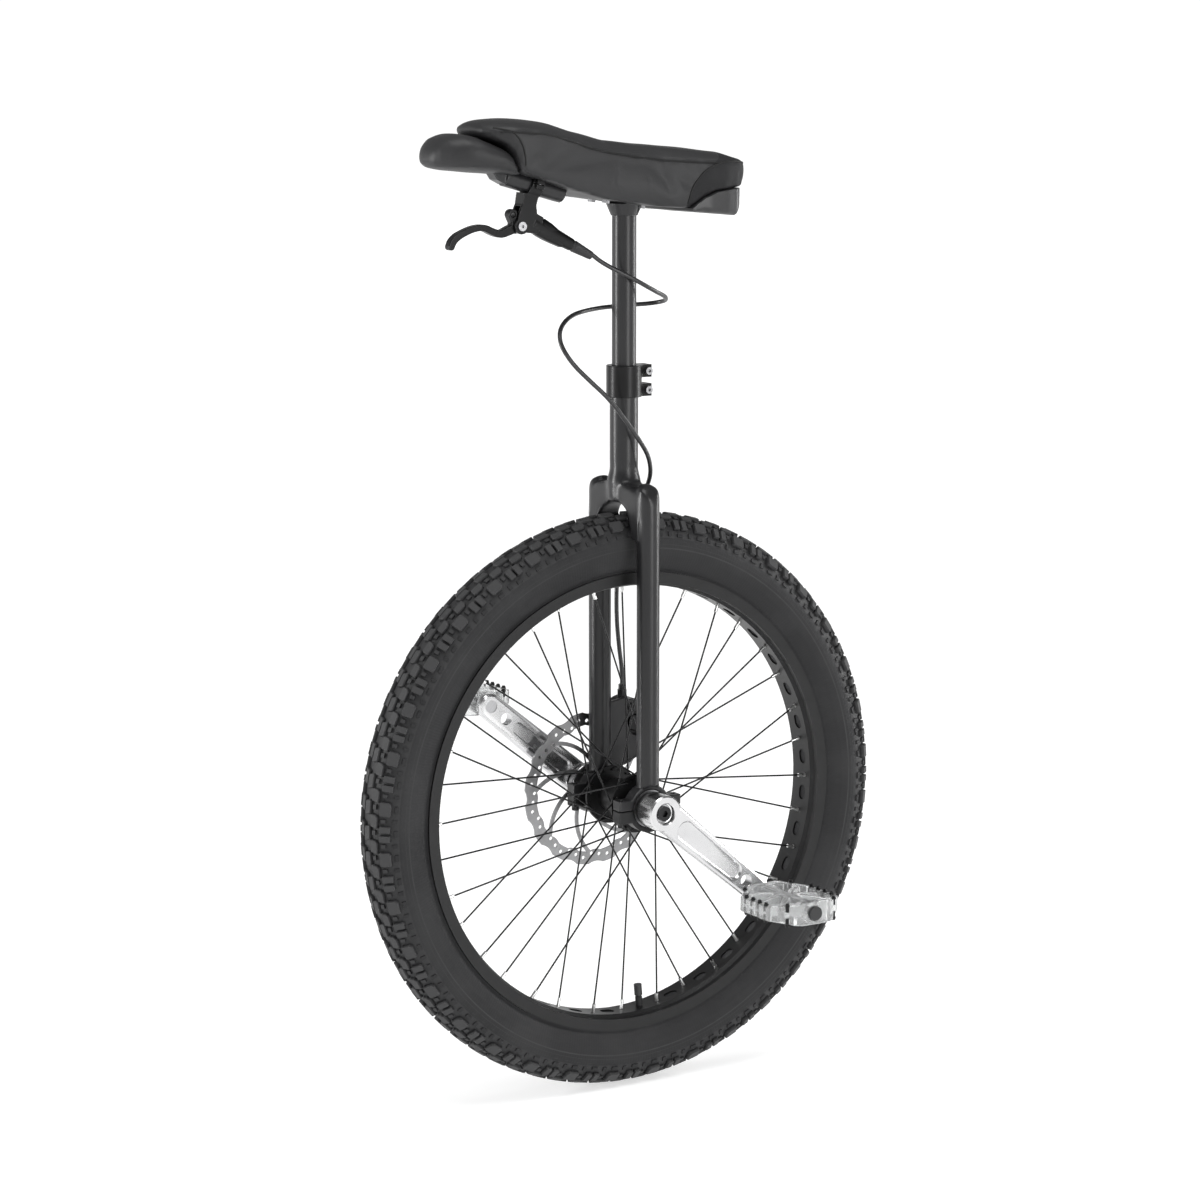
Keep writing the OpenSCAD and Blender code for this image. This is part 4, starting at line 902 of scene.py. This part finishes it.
def pad_ring(x, inset, steps=12):
    """One cross-section of the pad: a low dome over the seam, flat walls, and a rolled lower lip."""
    wide = between(pad_wide, x) - inset
    top = between(pad_top, x) - inset
    seam = min(between(pad_seam, x) - inset, top - 2)
    low = min(between(pad_base, x), seam - 1)
    ring = []
    for k in range(steps + 1):
        a = math.pi / 2 * k / steps
        ring.append((wide * math.sin(a) ** 0.9, seam + (top - seam) * math.cos(a)))
    lip = min(3.5, (seam - low) / 3)
    for k in range(1, steps + 1):
        t = k / steps
        ring.append((wide * (1 - 0.05 * t + 0.015 * math.sin(math.pi * t)), seam + (low + lip - seam) * t))
    for k in range(1, 4):
        a = math.pi / 2 * k / 3
        ring.append((wide * 0.95 - lip * (1 - math.cos(a)), low + lip - lip * math.sin(a)))
    ring.append((wide * 0.5, low))
    points = [(y, z) for y, z in ring] + [(-y, z) for y, z in reversed(ring[1:])]
    return [Vector((x / 1000, y / 1000, seat_z + z / 1000)) for y, z in points]


def spaced(low, high, count):
    """Stations from low to high, closer together at the ends."""
    return [low + (high - low) * (0.5 - 0.5 * math.cos(math.pi * k / count)) for k in range(count + 1)]


def swell(made, grain, pressure, cap):
    """Blows a closed skin up like stuffed cloth; no point moves further than cap."""
    remesh = made.modifiers.new("remesh", "REMESH")
    remesh.mode = "VOXEL"
    remesh.voxel_size = grain
    finish_modifiers(made)
    start = [v.co.copy() for v in made.data.vertices]
    held = made.vertex_groups.new(name="held")
    held.add([v.index for v in made.data.vertices if v.normal.z < -0.75], 1.0, "REPLACE")
    cloth = made.modifiers.new("cloth", "CLOTH")
    cloth.settings.vertex_group_mass = "held"
    cloth.settings.use_pressure = True
    cloth.settings.uniform_pressure_force = pressure
    cloth.settings.effector_weights.gravity = 0
    last_frame = 20
    for frame_number in range(1, last_frame + 1):
        bpy.context.scene.frame_set(frame_number)
    finish_modifiers(made)
    bpy.context.scene.frame_set(1)
    for vertex, home in zip(made.data.vertices, start):
        move = vertex.co - home
        if move.length > cap:
            vertex.co = home + move * (cap / move.length)
    made.vertex_groups.clear()


def soften(made):
    """Divides a cover's faces once more, for a smooth skin."""
    finer = made.modifiers.new("finer", "SUBSURF")
    finer.levels = finer.render_levels = 1
    finish_modifiers(made)
    tidy(made, vinyl, 80)


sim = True
pad_shrink = 1.6 if sim else 0
pad_rings = [pad_ring(x, pad_shrink) for x in spaced(-123, 197, 110)]
pad = piece("saddle_cover", *stack(pad_rings), vinyl, None, 50)
if sim:
    swell(pad, 0.0045, 4.0, 0.0035)
soften(pad)
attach(pad, "seat")
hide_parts("saddle_pad")

# ---- Front handle ----
# A padded grab handle stands out of the saddle's nose, under the same smooth vinyl.
handle_top = [(146, 29.5), (154, 32), (158, 38), (161, 47), (165, 55.5), (174, 61), (187, 66)]
handle_top += [(201, 71.5), (217, 74), (232, 70), (241, 63), (246, 55), (248, 47)]
handle_low = [(146, 28.5), (155, 28), (190, 30.5), (224, 33.5), (240, 36), (246, 40), (248, 44)]
handle_wide = [(146, 34), (150, 43), (160, 48), (175, 49.5), (195, 48.5), (212, 45), (228, 37)]
handle_wide += [(238, 28), (244, 20), (248, 10)]


def handle_ring(x, inset, steps=40):
    """One cross-section of the handle, a flattened round with a nearly flat underside."""
    wide = between(handle_wide, x) - inset
    top, low = between(handle_top, x) - inset, between(handle_low, x)
    middle, tall = (top + low) / 2, (top - low) / 2
    ring = []
    for k in range(steps):
        a = math.tau * k / steps
        c, s = math.cos(a), math.sin(a)
        y = wide * math.copysign(abs(c) ** 0.72, c)
        z = middle + tall * math.copysign(abs(s) ** 0.78, s)
        ring.append(Vector((x / 1000, y / 1000, seat_z + z / 1000)))
    return ring


handle_shrink = 1.0 if sim else 0
handle_rings = [handle_ring(x, handle_shrink) for x in spaced(146, 247.5, 44)]
handle = piece("grab_handle", *stack(handle_rings), vinyl, None, 50)
if sim:
    swell(handle, 0.004, 4.0, 0.0015)
soften(handle)
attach(handle, "seat")
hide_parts("front_handle")

# ---- Saddle seams ----
# A thin dark welt lies in each sewn seam of the cover: along both edges of the top panel and
# round the tail, down behind the handle, and down the front edge of the tail panel.
welt_black = Paint("welt_vinyl", specular_ior_level=0.3)
pores = welt_black.noise(700.0)
welt_black.coat(
    base_color=welt_black.mix(pores, (0.004, 0.004, 0.004), (0.010, 0.010, 0.010)),
    roughness=0.6,
)
skin = BVHTree.FromObject(pad, bpy.context.evaluated_depsgraph_get())


def on_skin(points):
    """Lays points on the cover; each is (x, y, z) in millimetres, above the base, outside the pad."""
    out = []
    for x, y, z in points:
        start = Vector((x / 1000, y / 1000, seat_z + z / 1000))
        spot, normal, *_ = skin.find_nearest(start)
        out.append(spot + normal * 0.0001)
    for _ in range(6):
        out[1:-1] = [(a + 2 * b + c) / 4 for a, b, c in zip(out, out[1:], out[2:])]
    return out


def welt(name, points):
    """A welt on the cover, along a smooth line through points."""
    line = on_skin(smooth_line([Vector(p) for p in points], 6))
    cord = tube(name, line, 0.0010, welt_black, "seat", 8)
    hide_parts("saddle_pad")


side_seams = {
    "top": [(182, 74), (175, 76.5), (166, 75), (150, 74.5), (132, 73), (93, 65), (68, 57), (42, 52),
            (13, 48), (-24, 43), (-66, 40.5), (-90, 42.5), (-106, 43), (-116, 41)],
    "tail": [(-82, 42), (-73, 37.5), (-64, 33), (-56, 25), (-50, 16), (-46, 8), (-44, 0), (-43, -7)],
    "front": [(189, 84), (175, 79), (166, 72), (159, 62), (156, 53), (154, 43), (155, 38)],
}
outside = 2
for s, hand in ((1, "left"), (-1, "right")):
    for seam, line in side_seams.items():
        points = [(x, s * (between(pad_wide, x) + outside), z) for x, z in line]
        welt(f"{hand}_{seam}_welt", points)
tail_arc = [(-116, 67, 41), (-122, 56, 39), (-125, 40, 38)]
welt("tail_welt", tail_arc + [(-126, 0, 38)] + [(x, -y, z) for x, y, z in reversed(tail_arc)])

# ---- Tail bumper and saddle base ----
# A hard plastic bumper closes the pad's lower tail corner, flush with the cover, and a stiff
# moulded base runs under the pad, with a turned-down lip.
bumper_low = [(-113, 5), (-112, -6), (-110, -12), (-107.5, -17), (-104, -19), (-80, -16.5)]
bumper_low += [(-51, -14), (-48, -13)]
bumper_top = [(-113, 11), (-104, 11), (-80, 8), (-64, 2), (-55, -4), (-49, -9), (-48, -10)]
bumper_wide = [(-113, 52), (-112, 58), (-109, 64), (-104, 67.5), (-90, 70), (-70, 69.5), (-48, 65)]


def bumper_ring(x):
    """One cross-section of the bumper, with rounded lower corners."""
    wide, top, low = [between(table, x) for table in (bumper_wide, bumper_top, bumper_low)]
    curve = min(7.0, (top - low) * 0.45)
    ring = [(0, top), (wide * 0.6, top), (wide - 1, top), (wide, top - 0.8), (wide, low + curve)]
    for k in range(1, 7):
        a = math.pi / 2 * k / 6
        ring.append((wide - curve * (1 - math.cos(a)), low + curve - curve * math.sin(a)))
    ring.append((0, low))
    points = ring + [(-y, z) for y, z in reversed(ring[1:-1])]
    return [Vector((x / 1000, y / 1000, seat_z + z / 1000)) for y, z in points]


bumper_rings = [bumper_ring(x) for x in spaced(-113, -48, 40)]
bumper = piece("tail_bumper", *stack(bumper_rings), hard_plastic, "seat", 45)
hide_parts("rear_bumper")
cast("saddle_shell", ["saddle_base"], hard_plastic, "seat", 0.0010, 3)

# ---- Scene update ----
# Brings the view layer up to date.
bpy.context.view_layer.update()
